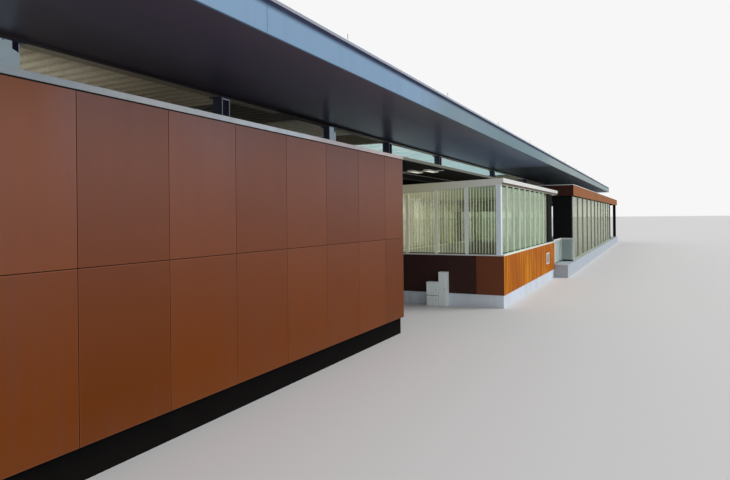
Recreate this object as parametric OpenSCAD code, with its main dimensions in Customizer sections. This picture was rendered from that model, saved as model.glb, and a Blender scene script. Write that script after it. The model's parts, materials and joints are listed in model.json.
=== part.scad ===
// Modern railway station building, at half its real size.
// A clad office block, an open concourse under a low canopy, a glazed waiting box and an open
// hall stand in one row, and one long flat roof floats over them on short steel columns.
// All lengths are millimetres of the half-size model. +X runs along the track, -Y faces the
// track and +Z is up. The origin is at ground level under the middle of the whole outline.

/* [Structural grid] */
// Spacing of the columns along the building
bay = 1875; // [1700:5:2050]
// Spacing between the track row and the rear row of columns
row_gap = 2670; // [2400:10:3000]
// Distance from the hall's front face back to the track row
row_setback = 1680; // [1600:10:1900]
// Distance from the inner edge of the end beam to the first and the last column
end_gap = 360; // [150:5:400]
// How far the fifth columns stand nearer to the office block than the even spacing
near_shift = 250; // [0:5:350]

/* [Ground and floors] */
// Height of the floor inside the building and at the platform
floor_h = 275; // [230:5:320]
// Height of the recessed black plinth of the office block
plinth_h = 190; // [150:5:220]
// How far the plinth stands back from the panels above it
plinth_recess = 30; // [10:5:60]
// Thickness of the plinth wall
plinth_t = 160; // [140:5:220]

/* [Office block] */
// Overhang of the block past the first column, away from the concourse
block_lead = 735; // [500:5:900]
// Overhang of the block past the fourth column, towards the concourse
block_tail = 387; // [250:1:500]
// Distance from the track row out to the block's track face
block_front = 750; // [650:10:950]
// Distance from the rear row out to the block's rear face
block_back = 770; // [650:10:900]
// Whole thickness of the outer walls, with their cladding
wall_t = 150; // [110:5:190]
// Thickness of the roof slab of the block and of the hall
slab_t = 100; // [70:5:140]

/* [Rust-coloured cladding] */
// Width of one cladding panel, from joint to joint
panel_w = 625; // [500:5:750]
// Height of one cladding panel
panel_h = 910; // [820:5:960]
// Thickness of a cladding panel
panel_t = 15; // [8:1:25]
// Open joint between two panels
panel_joint = 5; // [3:1:10]
// Narrowest panel that is cut to close a row
panel_min = 120; // [60:10:200]

/* [Coping] */
// Height of the pale coping on the low roofs
coping_h = 35; // [20:1:50]
// Width of the coping seen from above
coping_w = 135; // [100:5:200]
// How far the coping stands out past the panels
coping_lip = 10; // [6:1:20]
// Fall of the top of a coping or capping towards the roof, in degrees
coping_fall = 3; // [0:0.5:5]
// Depth of the drip groove under the lip of a coping
drip_d = 5; // [2:0.5:8]
// Joint between two lengths of coping, fascia or capping
seam = 3; // [1:0.5:6]
// Clearance between two pieces that are fitted dry
fit = 0.3; // [0.1:0.1:0.6]

/* [Office door] */
// Width of the doorway
door_w = 500; // [400:10:600]
// Height of the doorway above the floor
door_h = 1050; // [950:10:1150]
// Width of the door's frame
door_frame_w = 35; // [20:1:50]
// Thickness of the door leaf
door_leaf_t = 30; // [20:1:40]
// Height of the lever above the floor
lever_h = 505; // [450:5:560]
// Length of the lever
lever_l = 60; // [40:2:75]
// Thickness of the lever and of its spindle
lever_d = 12; // [8:1:16]
// Distance from the leaf's face out to the lever's middle
lever_out = 16; // [12:1:24]
// Distance from the leaf's edge in to the spindle
lever_inset = 52; // [40:2:80]

/* [Concourse canopy] */
// Thickness of the canopy's roof plate
canopy_t = 14; // [10:1:30]
// Depth of the steel beams under the canopy
canopy_beam_d = 80; // [60:5:110]
// Length of a ceiling light
light_l = 360; // [250:10:600]
// Width of a ceiling light
light_w = 80; // [50:5:150]
// Depth of a ceiling light
light_t = 18; // [10:1:30]
// Spacing of the two lights in an outer pair
light_pitch = 235; // [180:5:280]
// Shift of the outer lights past their column
light_shift = 280; // [200:5:350]
// Distance from the office block's long faces in to the middle of an outer pair
light_edge = 325; // [300:5:400]
// Shift of the inner lights past their column
light_next = 806; // [700:1:900]
// Distance from a row of columns in to the inner lights
light_in = 405; // [350:5:500]

/* [Columns] */
// Height of the short columns between the low roofs and the main roof
stub_h = 383; // [320:1:460]
// Width of an H-section column across its flanges
col_w = 100; // [80:1:110]
// Depth of an H-section column
col_d = 100; // [80:1:110]
// Thickness of a flange
flange_t = 8; // [5:0.5:12]
// Thickness of a web
web_t = 6; // [4:0.5:10]
// Radius of the root between a web and its flanges
root_r = 9; // [4:1:12]
// Side of the square plates under and over a short column
foot_w = 150; // [125:5:180]
// Thickness of those plates
foot_t = 8; // [5:1:14]

/* [Main roof] */
// Width of the smooth soffit strip around the roof
strip_w = 1330; // [1200:10:1500]
// Thickness of the soffit sheet
soffit_t = 12; // [8:1:20]
// Width of the long roof beams
beam_w = 100; // [80:2:140]
// Depth of the long roof beams
beam_d = 152; // [120:1:180]
// How far the roof beams reach down past the soffit
beam_drop = 22; // [0:1:40]
// Height of the ribs of the steel deck
deck_h = 52; // [35:1:70]
// Thickness of the steel deck sheet
deck_t = 8; // [5:1:12]
// Spacing of the ribs of the steel deck
deck_pitch = 140; // [120:5:180]
// Width of the flat under a rib
deck_low = 40; // [25:1:50]
// Width of the flat between two ribs
deck_high = 56; // [35:1:60]
// Height of the pale fascia
fascia_h = 196; // [160:1:200]
// Thickness of the fascia
fascia_t = 15; // [8:1:25]
// Distance from the roof's end to the first joint of the long fascias
fascia_first = 4275; // [3500:25:5000]
// Length of the fascia from joint to joint
fascia_len = 5625; // [4500:25:6500]
// Thickness of the edge beam behind the fascia
rim_t = 24; // [15:1:40]
// Thickness of an outrigger plate inside the roof's edge
outrigger_t = 14; // [8:1:20]
// Thickness of the roof covering
cover_t = 15; // [12:1:25]
// Height of the capping along the roof's edge
cap_h = 25; // [15:1:35]
// Width of the capping seen from above
cap_w = 120; // [80:5:160]
// How far the capping stands back from the fascia's face
cap_back = 3; // [0:1:6]

/* [Rooflight] */
// Spacing of the rooflight's glazing bars
light_bay = 625; // [500:5:750]
// Width of the kerb and of the glazing bars
kerb_w = 40; // [25:1:60]
// Depth of a glazing bar
bar_d = 50; // [30:1:60]
// Thickness of the rooflight's glass
roof_glass_t = 10; // [6:1:15]

/* [Waiting box] */
// Gap from the fifth column to the near end of the waiting box
box_lead = 955; // [900:5:1150]
// Gap from the far end of the waiting box to the eighth column
box_tail = 245; // [200:5:400]
// Depth of the waiting box across the building
box_depth = 2100; // [1800:10:2200]
// Distance from the hall's front face back to the box's track face
box_setback = 275; // [200:5:350]
// Height of the box's concrete plinth
box_plinth_h = 188; // [150:1:220]
// How far the concrete plinth stands back from the parapet above it
box_recess = 12; // [5:1:30]
// Height of the parapet between the plinth and the glass
parapet_h = 577; // [480:1:640]
// Whole thickness of the parapet wall
parapet_t = 145; // [135:5:180]
// Width of a cladding panel on the parapet
parapet_panel_w = 415; // [350:5:500]
// Thickness of the sill on the parapet
sill_t = 14; // [8:1:25]
// Drop from the low roofs' top to the head of the box's track face
box_drop = 211; // [190:1:240]
// Fall of the head of the box's glass away from the track, in degrees
box_pitch = 3.2; // [2:0.1:5]
// Fall of the top of the box's roof away from the track, in degrees
box_top_pitch = 1.85; // [1:0.05:3]
// Thickness of the box's roof at its track edge
box_roof_t = 94; // [70:1:110]
// Height of the nose along the track edge of the box's roof
box_nose_h = 60; // [40:1:65]
// How far the roof stands back under that nose
box_nose_in = 20; // [10:1:40]
// How far the box's glass walls stand back from the faces of the parapet
glaze_in = 50; // [20:5:55]
// Overhang of the box's roof at its open end
box_overhang = 550; // [400:10:600]
// Spacing of the glazing posts
post_pitch = 500; // [420:5:600]
// Width of a glazing post in the near face
post_w = 45; // [30:1:60]
// Width of a slim glazing post in the long faces and in the hall's screens
slim_w = 22; // [12:1:35]
// Width of a corner post
corner_w = 75; // [60:1:100]
// Thickness of the glass in the box, the hall's screens and the balustrade
glass_t = 10; // [6:1:16]
// Length of the black closed bay at the open end
pier_l = 545; // [450:5:700]
// Height of the transom over the end opening, above the floor
transom_h = 1165; // [1050:5:1200]
// Height of the transom bar
transom_t = 30; // [20:1:45]
// Height of the bulkhead above the transom
bulkhead_h = 190; // [140:5:200]

/* [Service cabinets] */
// Width of the low cabinet
cabinet_low_w = 180; // [150:5:220]
// Width of the tall cabinet
cabinet_tall_w = 120; // [100:5:190]
// Gap between the two cabinets
cabinet_gap = 13; // [3:1:25]
// Depth of the cabinets
cabinet_d = 125; // [90:5:160]
// Height of the low cabinet
cabinet_low = 350; // [320:5:440]
// Height of the tall cabinet
cabinet_tall = 505; // [450:5:580]
// Height of the joint between the two doors of the low cabinet
cabinet_split = 155; // [120:5:220]
// Distance from the box's track face to the nearer cabinet
cabinet_inset = 840; // [760:5:950]
// Width and depth of the joint around the doors of the low cabinet
cabinet_joint = 6; // [4:1:10]

/* [Balustrade] */
// Height of the balustrade above the floor
rail_h = 540; // [480:5:580]
// Side of a balustrade post
rail_post = 25; // [16:1:35]
// Gap under the balustrade's glass
rail_gap = 40; // [20:1:60]

/* [Hall] */
// Gap from the eighth column to the hall's near end
hall_lead = 860; // [800:5:1000]
// Length of the hall past the last column
hall_tail = 2660; // [2500:10:2900]
// Height of the hall's fascia
hall_fascia_h = 246; // [220:1:320]
// How far the hall's fascia rises past the low roofs' top
hall_fascia_rise = 36; // [36:1:60]
// Thickness of the hall's fascia
hall_fascia_t = 30; // [15:1:45]
// Height of the pale coping on the hall's fascia
hall_coping_h = 12; // [12:1:24]
// How far that coping stands out past the fascia
hall_lip = 6; // [3:1:10]
// Length of the hall's near corner piers along the building
pier_w = 200; // [150:5:240]
// Length of those piers across the building
pier_deep = 420; // [200:10:600]
// Side of the hall's other columns
hall_col_w = 125; // [100:5:150]
// Gap between the hall's fascia and its columns and screens
hall_inset = 25; // [10:1:50]
// Distance from the hall's far end back to the open bay's inner column
open_bay = 4000; // [3500:10:4500]
// Spacing of the posts in the hall's screens
screen_bay = 1250; // [1000:10:1500]
// Height of the screen's top and bottom rails
screen_rail = 40; // [25:1:60]

/* [Hidden] */
$fn = 32;

// Columns that carry the main roof, counted in bays from the first one
STUB_BAYS = [0, 1, 2, 3, 4, 5, 7, 9, 11, 13, 15];
LAST_BAY = 15;
// Bay with a column of the track row, and bays with one of the rear row, under the canopy
CANOPY_TRACK_BAY = 4;
CANOPY_REAR_BAYS = [4, 5, 6, 7];
// Bays with a column inside the hall
HALL_BAYS = [9, 11, 13, 15];

// Rows of columns, measured from the hall's front face
row_a = row_setback;
row_b = row_a + row_gap;
row_mid = (row_a + row_b) / 2;
rows = [row_a, row_b];

// Main roof in plan, measured from its end beyond the office block
field_in = strip_w + beam_w / 2;
first_col = field_in + end_gap;
roof_len = first_col + LAST_BAY * bay + end_gap + field_in;
roof_y = [row_a - field_in, row_b + field_in];
function station(k) = first_col + k * bay - (k == CANOPY_TRACK_BAY ? near_shift : 0);

// Heights of the low roofs and of the main roof
low_top = plinth_h + 2 * panel_h + panel_joint;
wall_top = low_top - slab_t;
canopy_z = low_top - canopy_t;
canopy_beam_z = canopy_z - canopy_beam_d;
beam_z = low_top + stub_h;
soffit_z = beam_z + beam_drop;
beam_top = beam_z + beam_d;
deck_top = beam_top + deck_h + deck_t;
fascia_top = soffit_z + fascia_h;
cover_top = deck_top + cover_t;
roof_top = cover_top + cap_h;

// Office block in plan
block_x = [first_col - block_lead, station(3) + block_tail];
block_y = [row_a - block_front, row_b + block_back];
core_x = [block_x[0] + panel_t, block_x[1] - panel_t];
core_y = [block_y[0] + panel_t, block_y[1] - panel_t];
room_x = [block_x[0] + wall_t, block_x[1] - wall_t];
room_y = [block_y[0] + wall_t, block_y[1] - wall_t];
door_y = [row_mid - door_w / 2, row_mid + door_w / 2];
door_top = floor_h + door_h;

// Hall in plan
hall_x = [station(7) + hall_lead, station(LAST_BAY) + hall_tail];
hall_y = [0, block_y[1]];
hall_face_x = [hall_x[0] + hall_lip, hall_x[1] - hall_lip];
hall_face_y = [hall_y[0] + hall_lip, hall_y[1] - hall_lip];
hall_slab_x = [hall_face_x[0] + hall_fascia_t, hall_face_x[1] - hall_fascia_t];
hall_slab_y = [hall_face_y[0] + hall_fascia_t, hall_face_y[1] - hall_fascia_t];
hall_fascia_z = [low_top + hall_fascia_rise - hall_fascia_h, low_top + hall_fascia_rise];
hall_col_x = [hall_slab_x[0] + hall_inset, hall_slab_x[1] - hall_inset];
hall_col_y = [hall_slab_y[0] + hall_inset, hall_slab_y[1] - hall_inset];
screen_x = [hall_col_x[0] + pier_w, hall_x[1] - open_bay];

// Waiting box in plan and in height
box_x = [station(4) + box_lead, station(7) - box_tail];
box_y = [box_setback, box_setback + box_depth];
box_core_x = [box_x[0] + panel_t, box_x[1]];
box_core_y = [box_y[0] + panel_t, box_y[1] - panel_t];
box_room_x = [box_x[0] + parapet_t, box_x[1]];
box_room_y = [box_y[0] + parapet_t, box_y[1] - parapet_t];
parapet_top = box_plinth_h + parapet_h;
sill_top = parapet_top + sill_t;
box_head = low_top - box_drop;
pier_x = [box_x[1] - pier_l, box_x[1]];
glaze_x = box_x[0] + glaze_in;
glaze_y = [box_y[0] + glaze_in, box_y[1] - glaze_in];
corner_mid = [glaze_y[0] + corner_w / 2, glaze_y[1] - corner_w / 2];
transom_z = floor_h + transom_h;
function box_head_at(y) = box_head - (y - box_y[0]) * tan(box_pitch);
function box_top_at(y) = box_head + box_roof_t - (y - box_y[0]) * tan(box_top_pitch);

// Middle of the whole outline, which is the origin
outline_x = [min(0, block_x[0] - coping_lip), max(roof_len, hall_x[1])];
outline_y = [min(0, roof_y[0]), max(hall_y[1], roof_y[1])];
x_mid = (outline_x[0] + outline_x[1]) / 2;
y_mid = (outline_y[0] + outline_y[1]) / 2;

// Roof fields from beam to beam: glass, deck, glass, deck
field_x = [[field_in, station(1)], [station(1), station(4)],
    [station(4), station(9)], [station(9), roof_len - field_in]];
GLASS_FIELDS = [field_x[0], field_x[2]];
DECK_FIELDS = [field_x[1], field_x[3]];

// Colours of the finishes
RUST = [0.50, 0.27, 0.19];
RUST_LIGHT = [0.72, 0.43, 0.20];
BLACK = [0.13, 0.13, 0.15];
DARK = [0.20, 0.20, 0.23];
PALE = [0.66, 0.72, 0.78];
WHITE = [0.84, 0.85, 0.87];
CONCRETE = [0.62, 0.64, 0.66];
PLASTER = [0.80, 0.79, 0.76];
GALVANISED = [0.60, 0.59, 0.53];
GLASS = [0.74, 0.84, 0.80, 0.45];

// A block between two corners, given as a low and a high value on each axis
module span(x, y, z) {
    translate([x[0], y[0], z[0]])
        cube([x[1] - x[0], y[1] - y[0], z[1] - z[0]]);
}

// Moves the plan, which is measured from the roof's end and the hall's front, to the origin
module site() {
    translate([-x_mid, -y_mid, 0]) children();
}

// A rectangular ring made of four straight bars with a joint at each corner
module ring_bars(x, y, z, w, joint) {
    for (side = [[y[0], y[0] + w], [y[1] - w, y[1]]])
        span(x, side, z);
    for (end = [[x[0], x[0] + w], [x[1] - w, x[1]]])
        span(end, [y[0] + w + joint, y[1] - w - joint], z);
}

// Section of a coping as points across and up: outer face, drip groove under the lip, sloping top
function coping_points(w, h, lip) = let (nose = lip / 2)
    [[0, 0], [nose, 0], [nose, drip_d], [lip, drip_d], [lip, 0], [w, 0],
        [w, h - w * tan(coping_fall)], [0, h]];

// A bar along X with the section of a coping and with mitred ends
module mitred_coping(len, w, h, lip) {
    cut = seam * 0.7;
    intersection() {
        rotate([90, 0, 90]) linear_extrude(len) polygon(coping_points(w, h, lip));
        linear_extrude(h) polygon([[cut, 0], [len - cut, 0], [len - w - cut, w], [w + cut, w]]);
    }
}

// A coping around a rectangle: four bars that meet at open mitred joints
module coping_ring(x, y, z, w, h, lip) {
    len = [x[1] - x[0], y[1] - y[0]];
    translate([x[0], y[0], z]) mitred_coping(len[0], w, h, lip);
    translate([x[1], y[0], z]) rotate([0, 0, 90]) mitred_coping(len[1], w, h, lip);
    translate([x[1], y[1], z]) rotate([0, 0, 180]) mitred_coping(len[0], w, h, lip);
    translate([x[0], y[1], z]) rotate([0, 0, 270]) mitred_coping(len[1], w, h, lip);
}

// Section of a rolled H, its flanges across the first axis and its roots rounded at the web
module h_section(w, d) {
    open_d = d - 2 * flange_t;
    root = web_t / 2 + root_r;
    difference() {
        square([d, w], center = true);
        for (side = [0, 1])
            mirror([0, side]) {
                translate([-open_d / 2, root]) square([open_d, w / 2]);
                translate([root_r - open_d / 2, web_t / 2]) square([open_d - 2 * root_r, w / 2]);
                for (end = [-1, 1])
                    translate([end * (open_d / 2 - root_r), root]) circle(root_r);
            }
    }
}

// A rolled beam along the building, its flanges level, with its top at z_top
module beam_along(x, y, z_top, w, d) {
    translate([x[0], y, z_top - d / 2])
        rotate([90, 0, 90])
            linear_extrude(x[1] - x[0]) rotate(90) h_section(w, d);
}

// A rolled beam across the building, its flanges level, with its top at z_top
module beam_across(x, y, z_top, w, d) {
    translate([x, y[1], z_top - d / 2])
        rotate([90, 0, 0])
            linear_extrude(y[1] - y[0]) rotate(90) h_section(w, d);
}

// A rolled column that stands between two levels
module h_column(x, y, z) {
    translate([x, y, z[0]])
        linear_extrude(z[1] - z[0]) h_section(col_w, col_d);
}

// A short column with its base plate and its head plate
module stub_column(x, y, z) {
    for (level = [z[0], z[1] - foot_t])
        translate([x - foot_w / 2, y - foot_w / 2, level]) cube([foot_w, foot_w, foot_t]);
    h_column(x, y, [z[0] + foot_t, z[1] - foot_t]);
}

// How many panels of one width close a face of this length
function panel_count(len, pitch) = max(1, ceil((len - panel_min) / pitch));

// One row of panels along X from 0 to len, with its outer corners trimmed back
module panel_row(len, trim, pitch, z) {
    n = panel_count(len, pitch);
    for (i = [0:n - 1]) {
        a = i == 0 ? trim : i * pitch + panel_joint / 2;
        b = i == n - 1 ? len - trim : (i + 1) * pitch - panel_joint / 2;
        span([a, b], [0, panel_t], z);
    }
}

// Both rows of panels on one face of the office block
module block_face(len, trim) {
    for (row = [0, 1]) {
        z0 = plinth_h + row * (panel_h + panel_joint);
        panel_row(len, trim, panel_w, [z0, z0 + panel_h]);
    }
}

// A prism under the sloping roof of the waiting box, from z0 up to the slope
module under_slope(x, y, z0) {
    translate([x[0], 0, 0])
        rotate([90, 0, 90])
            linear_extrude(x[1] - x[0])
                polygon([[y[0], z0], [y[1], z0], [y[1], box_head_at(y[1])], [y[0], box_head_at(y[0])]]);
}

// Office block: recessed plinth
module block_plinth() {
    x = [block_x[0] + plinth_recess, block_x[1] - plinth_recess];
    y = [block_y[0] + plinth_recess, block_y[1] - plinth_recess];
    color(BLACK) site() ring_bars(x, y, [0, plinth_h], plinth_t, fit);
}

// Office block: floor that lies on the plinth between the walls
module block_floor() {
    color(CONCRETE) site() span(room_x, room_y, [plinth_h, floor_h]);
}

// Office block: long wall towards the track
module block_track_wall() {
    color(PLASTER) site() span(core_x, [core_y[0], room_y[0]], [plinth_h, wall_top]);
}

// Office block: long wall away from the track
module block_rear_wall() {
    color(PLASTER) site() span(core_x, [room_y[1], core_y[1]], [plinth_h, wall_top]);
}

// Office block: end wall away from the concourse
module block_end_wall() {
    color(PLASTER) site() span([core_x[0], room_x[0]], room_y, [plinth_h, wall_top]);
}

// Office block: wall towards the concourse, with the doorway
module block_concourse_wall() {
    color(PLASTER) site() difference() {
        span([room_x[1], core_x[1]], room_y, [plinth_h, wall_top]);
        span([room_x[1] - 1, core_x[1] + 1], door_y, [floor_h, door_top]);
    }
}

// Office block: panels on the track face
module block_track_panels() {
    color(RUST) site()
        translate([block_x[0], block_y[0], 0]) block_face(block_x[1] - block_x[0], 0);
}

// Office block: panels on the rear face
module block_rear_panels() {
    color(RUST) site()
        translate([block_x[0], core_y[1], 0]) block_face(block_x[1] - block_x[0], 0);
}

// Office block: panels on the two end faces, cut out around the door
module block_end_panels() {
    color(RUST) site() difference() {
        for (x = [core_x[0], block_x[1]])
            translate([x, block_y[0], 0])
                rotate([0, 0, 90]) block_face(block_y[1] - block_y[0], panel_t);
        span([core_x[1] - 1, block_x[1] + 1], [door_y[0] - panel_joint, door_y[1] + panel_joint],
            [0, door_top + panel_joint]);
    }
}

// Office block: closed door set with its frame, leaf and lever
module block_door() {
    frame_x = [room_x[1], core_x[1]];
    leaf_x = [frame_x[1] - door_frame_w - door_leaf_t, frame_x[1] - door_frame_w];
    leaf_y = [door_y[0] + door_frame_w, door_y[1] - door_frame_w];
    leaf_top = door_top - door_frame_w;
    color(DARK) site() {
        for (y = [[door_y[0], leaf_y[0]], [leaf_y[1], door_y[1]]])
            span(frame_x, y, [floor_h, leaf_top - fit]);
        span(frame_x, door_y, [leaf_top, door_top]);
        span(leaf_x, [leaf_y[0] + fit, leaf_y[1] - fit], [floor_h, leaf_top - fit]);
        translate([leaf_x[1] + fit, leaf_y[0] + lever_inset, floor_h + lever_h]) {
            rotate([0, 90, 0]) cylinder(h = lever_out, d = lever_d);
            translate([lever_out, 0, 0]) sphere(d = lever_d);
            translate([lever_out, 0, 0]) rotate([-90, 0, 0]) cylinder(h = lever_l, d = lever_d);
        }
    }
}

// Office block: flat roof slab over the walls
module block_roof_slab() {
    color(CONCRETE) site() span(core_x, core_y, [wall_top, low_top]);
}

// Office block: pale coping over the tops of the panels
module block_coping() {
    x = [block_x[0] - coping_lip, block_x[1] + coping_lip];
    y = [block_y[0] - coping_lip, block_y[1] + coping_lip];
    color(PALE) site() coping_ring(x, y, low_top, coping_w, coping_h, coping_lip);
}

// Concourse: roof plate of the low canopy between the block and the hall
module canopy_slab() {
    color(DARK) site() span([block_x[1], hall_face_x[0]], block_y, [canopy_z, low_top]);
}

// Concourse and hall: pale edges that carry on the line of the coping, and the hall's own coping
module low_roof_edges() {
    x = [block_x[1] + coping_lip + seam, hall_face_x[0]];
    color(PALE) site() {
        translate([x[0], block_y[0] - coping_lip, low_top])
            rotate([90, 0, 90])
                linear_extrude(x[1] - x[0]) polygon(coping_points(coping_w, coping_h, coping_lip));
        translate([x[1], block_y[1] + coping_lip, low_top])
            rotate([90, 0, 270])
                linear_extrude(x[1] - x[0]) polygon(coping_points(coping_w, coping_h, coping_lip));
        coping_ring(hall_x, hall_y, hall_fascia_z[1], hall_fascia_t + 2 * hall_lip, hall_coping_h,
            hall_lip);
    }
}

// Concourse: steel beams along both rows and across at each column
module canopy_beams() {
    color(BLACK) site() {
        for (y = rows)
            beam_along([block_x[1], hall_face_x[0]], y, canopy_z, col_w, canopy_beam_d);
        for (k = CANOPY_REAR_BAYS)
            beam_across(station(k), [row_a + col_w / 2 + fit, row_b - col_w / 2 - fit], canopy_z,
                col_w, canopy_beam_d);
    }
}

// Concourse: columns from the ground or the floor up to the beams
module canopy_columns() {
    color(BLACK) site() {
        h_column(station(CANOPY_TRACK_BAY), row_a, [0, canopy_beam_z]);
        for (k = CANOPY_REAR_BAYS)
            h_column(station(k), row_b, [floor_h, canopy_beam_z]);
    }
}

// A flat ceiling light under the canopy, by the place of its middle
module ceiling_light(x, y) {
    translate([x, y, canopy_z - light_t / 2]) cube([light_l, light_w, light_t], center = true);
}

// Concourse: pairs of flat ceiling lights outside the rows and single ones between them
module canopy_lights() {
    color(WHITE) site() {
        for (y = [block_y[0] + light_edge, block_y[1] - light_edge], side = [-1, 1])
            ceiling_light(station(CANOPY_TRACK_BAY) + light_shift, y + side * light_pitch / 2);
        for (k = [5, 6], y = [row_a + light_in, row_b - light_in])
            ceiling_light(station(k) + light_next, y);
    }
}

// Main roof: short H-section columns on the low roofs
module stub_columns() {
    color(BLACK) site()
        for (k = STUB_BAYS, y = rows)
            stub_column(station(k), y, [low_top, beam_z]);
}

// Main roof: long beams over the columns and cross beams between the roof's fields
module roof_beams() {
    cross_x = [field_in, station(1), station(4), station(9), roof_len - field_in];
    color(BLACK) site() {
        for (y = rows)
            beam_along([strip_w, roof_len - strip_w], y, beam_top, beam_w, beam_d);
        for (x = cross_x)
            beam_across(x, [row_a + beam_w / 2 + fit, row_b - beam_w / 2 - fit], beam_top, beam_w,
                beam_d);
    }
}

// Main roof: edge beam and the outrigger plates that carry it
module roof_edge_frame() {
    z = [soffit_z + soffit_t, deck_top];
    x = [fascia_t, roof_len - fascia_t];
    y = [roof_y[0] + fascia_t, roof_y[1] - fascia_t];
    reach = [y[0] + rim_t, y[1] - rim_t];
    color(DARK) site() {
        ring_bars(x, y, z, rim_t, fit);
        for (k = [0:LAST_BAY]) {
            plate = [station(k) - outrigger_t / 2, station(k) + outrigger_t / 2];
            span(plate, [reach[0] + fit, row_a - beam_w / 2], z);
            span(plate, [row_b + beam_w / 2, reach[1] - fit], z);
        }
        for (v = [row_a + beam_w, row_mid, row_b - beam_w]) {
            plate = [v - outrigger_t / 2, v + outrigger_t / 2];
            span([x[0] + rim_t + fit, strip_w], plate, z);
            span([roof_len - strip_w, x[1] - rim_t - fit], plate, z);
        }
    }
}

// Main roof: smooth dark soffit around the open field
module soffit_sheets() {
    z = [soffit_z, soffit_z + soffit_t];
    x = [fascia_t, roof_len - fascia_t];
    inner_y = [row_a - beam_w / 2, row_b + beam_w / 2];
    color(DARK) site() {
        span(x, [roof_y[0] + fascia_t, inner_y[0]], z);
        span(x, [inner_y[1], roof_y[1] - fascia_t], z);
        span([x[0], strip_w], [inner_y[0] + seam, inner_y[1] - seam], z);
        span([roof_len - strip_w, x[1]], [inner_y[0] + seam, inner_y[1] - seam], z);
    }
}

// Main roof: pale fascia in long lengths
module roof_fascia() {
    z = [soffit_z, fascia_top];
    joints = floor((roof_len - panel_min - fascia_first) / fascia_len);
    edges = concat([0], [for (i = [0:joints]) fascia_first + i * fascia_len], [roof_len]);
    across = roof_y[1] - roof_y[0] - 2 * fascia_t;
    color(PALE) site() {
        for (i = [0:len(edges) - 2]) {
            a = edges[i] + (i == 0 ? 0 : seam / 2);
            b = edges[i + 1] - (i == len(edges) - 2 ? 0 : seam / 2);
            span([a, b], [roof_y[0], roof_y[0] + fascia_t], z);
            span([a, b], [roof_y[1] - fascia_t, roof_y[1]], z);
        }
        for (x = [[0, fascia_t], [roof_len - fascia_t, roof_len]], i = [0:2]) {
            y0 = roof_y[0] + fascia_t + i * across / 3;
            span(x, [y0 + (i == 0 ? fit : seam / 2), y0 + across / 3 - (i == 2 ? fit : seam / 2)], z);
        }
    }
}

// Main roof: covering over the deck and the edges, in sheets that leave the rooflights open
module roof_cover() {
    x = [fascia_t, roof_len - fascia_t];
    z = [deck_top, cover_top];
    middle = [row_a + fit, row_b - fit];
    color(CONCRETE) site() {
        span(x, [roof_y[0] + fascia_t, row_a], z);
        span(x, [row_b, roof_y[1] - fascia_t], z);
        span([x[0], GLASS_FIELDS[0][0]], middle, z);
        span([GLASS_FIELDS[0][1], GLASS_FIELDS[1][0]], middle, z);
        span([GLASS_FIELDS[1][1], x[1]], middle, z);
    }
}

// Main roof: capping along the edge, above a thin dark shadow line
module roof_capping() {
    x = [cap_back, roof_len - cap_back];
    y = [roof_y[0] + cap_back, roof_y[1] - cap_back];
    color(PALE) site() coping_ring(x, y, cover_top, cap_w, cap_h, fascia_t - cap_back);
}

// One side of the deck's folded sheet, as points along X and Z from end to end
function deck_line(len, lift) = let (lean = (deck_pitch - deck_low - deck_high) / 2,
    n = floor(len / deck_pitch), start = (len - n * deck_pitch + deck_high) / 2)
    concat([[0, deck_h + lift]],
        [for (i = [0:n - 1], p = [[0, deck_h], [lean, 0], [lean + deck_low, 0],
            [2 * lean + deck_low, deck_h]]) [start + i * deck_pitch + p[0], p[1] + lift]],
        [[len, deck_h + lift]]);

// Main roof: folded steel deck whose ribs run across the building
module ribbed_deck() {
    color(GALVANISED) site()
        for (f = DECK_FIELDS) {
            len = f[1] - f[0];
            under = deck_line(len, 0);
            over = deck_line(len, deck_t);
            translate([f[0], rows[1], beam_top])
                rotate([90, 0, 0])
                    linear_extrude(rows[1] - rows[0])
                        polygon(concat(under, [for (i = [len(over) - 1:-1:0]) over[i]]));
        }
}

// Number of panes along a rooflight
function pane_count(f) = max(1, round((f[1] - f[0]) / light_bay));

// Main roof: kerb and glazing bars of the two rooflights
module rooflight_frame() {
    z = [beam_top, roof_top - roof_glass_t];
    color(WHITE) site()
        for (f = GLASS_FIELDS) {
            pitch = (f[1] - f[0] - kerb_w) / pane_count(f);
            ring_bars(f, rows, z, kerb_w, fit);
            for (i = [1:pane_count(f) - 1])
                span([f[0] + i * pitch, f[0] + i * pitch + kerb_w],
                    [rows[0] + kerb_w + fit, rows[1] - kerb_w - fit], [z[1] - bar_d, z[1]]);
        }
}

// Main roof: glass panes that lie on the rooflight's bars
module rooflight_glass() {
    color(GLASS) site()
        for (f = GLASS_FIELDS) {
            pitch = (f[1] - f[0] - kerb_w) / pane_count(f);
            for (i = [0:pane_count(f) - 1]) {
                x0 = f[0] + kerb_w / 2 + i * pitch;
                span([x0 + seam / 2, x0 + pitch - seam / 2],
                    [rows[0] + kerb_w / 4, rows[1] - kerb_w / 4],
                    [roof_top - roof_glass_t, roof_top]);
            }
        }
}

// Waiting box: concrete plinth
module box_plinth() {
    x = [box_x[0] + box_recess, box_x[1]];
    y = [box_y[0] + box_recess, box_y[1]];
    color(CONCRETE) site() ring_bars(x, y, [0, box_plinth_h], parapet_t + box_recess, fit);
}

// Waiting box: floor between the parapets
module box_floor() {
    color(CONCRETE) site() span(box_room_x, box_room_y, [box_plinth_h, floor_h]);
}

// Waiting box: parapet wall on three sides
module box_parapet() {
    z = [box_plinth_h, parapet_top];
    color(PLASTER) site() {
        span(box_core_x, [box_core_y[0], box_room_y[0]], z);
        span(box_core_x, [box_room_y[1], box_core_y[1]], z);
        span([box_core_x[0], box_room_x[0]], [box_room_y[0] + fit, box_room_y[1] - fit], z);
    }
}

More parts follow.
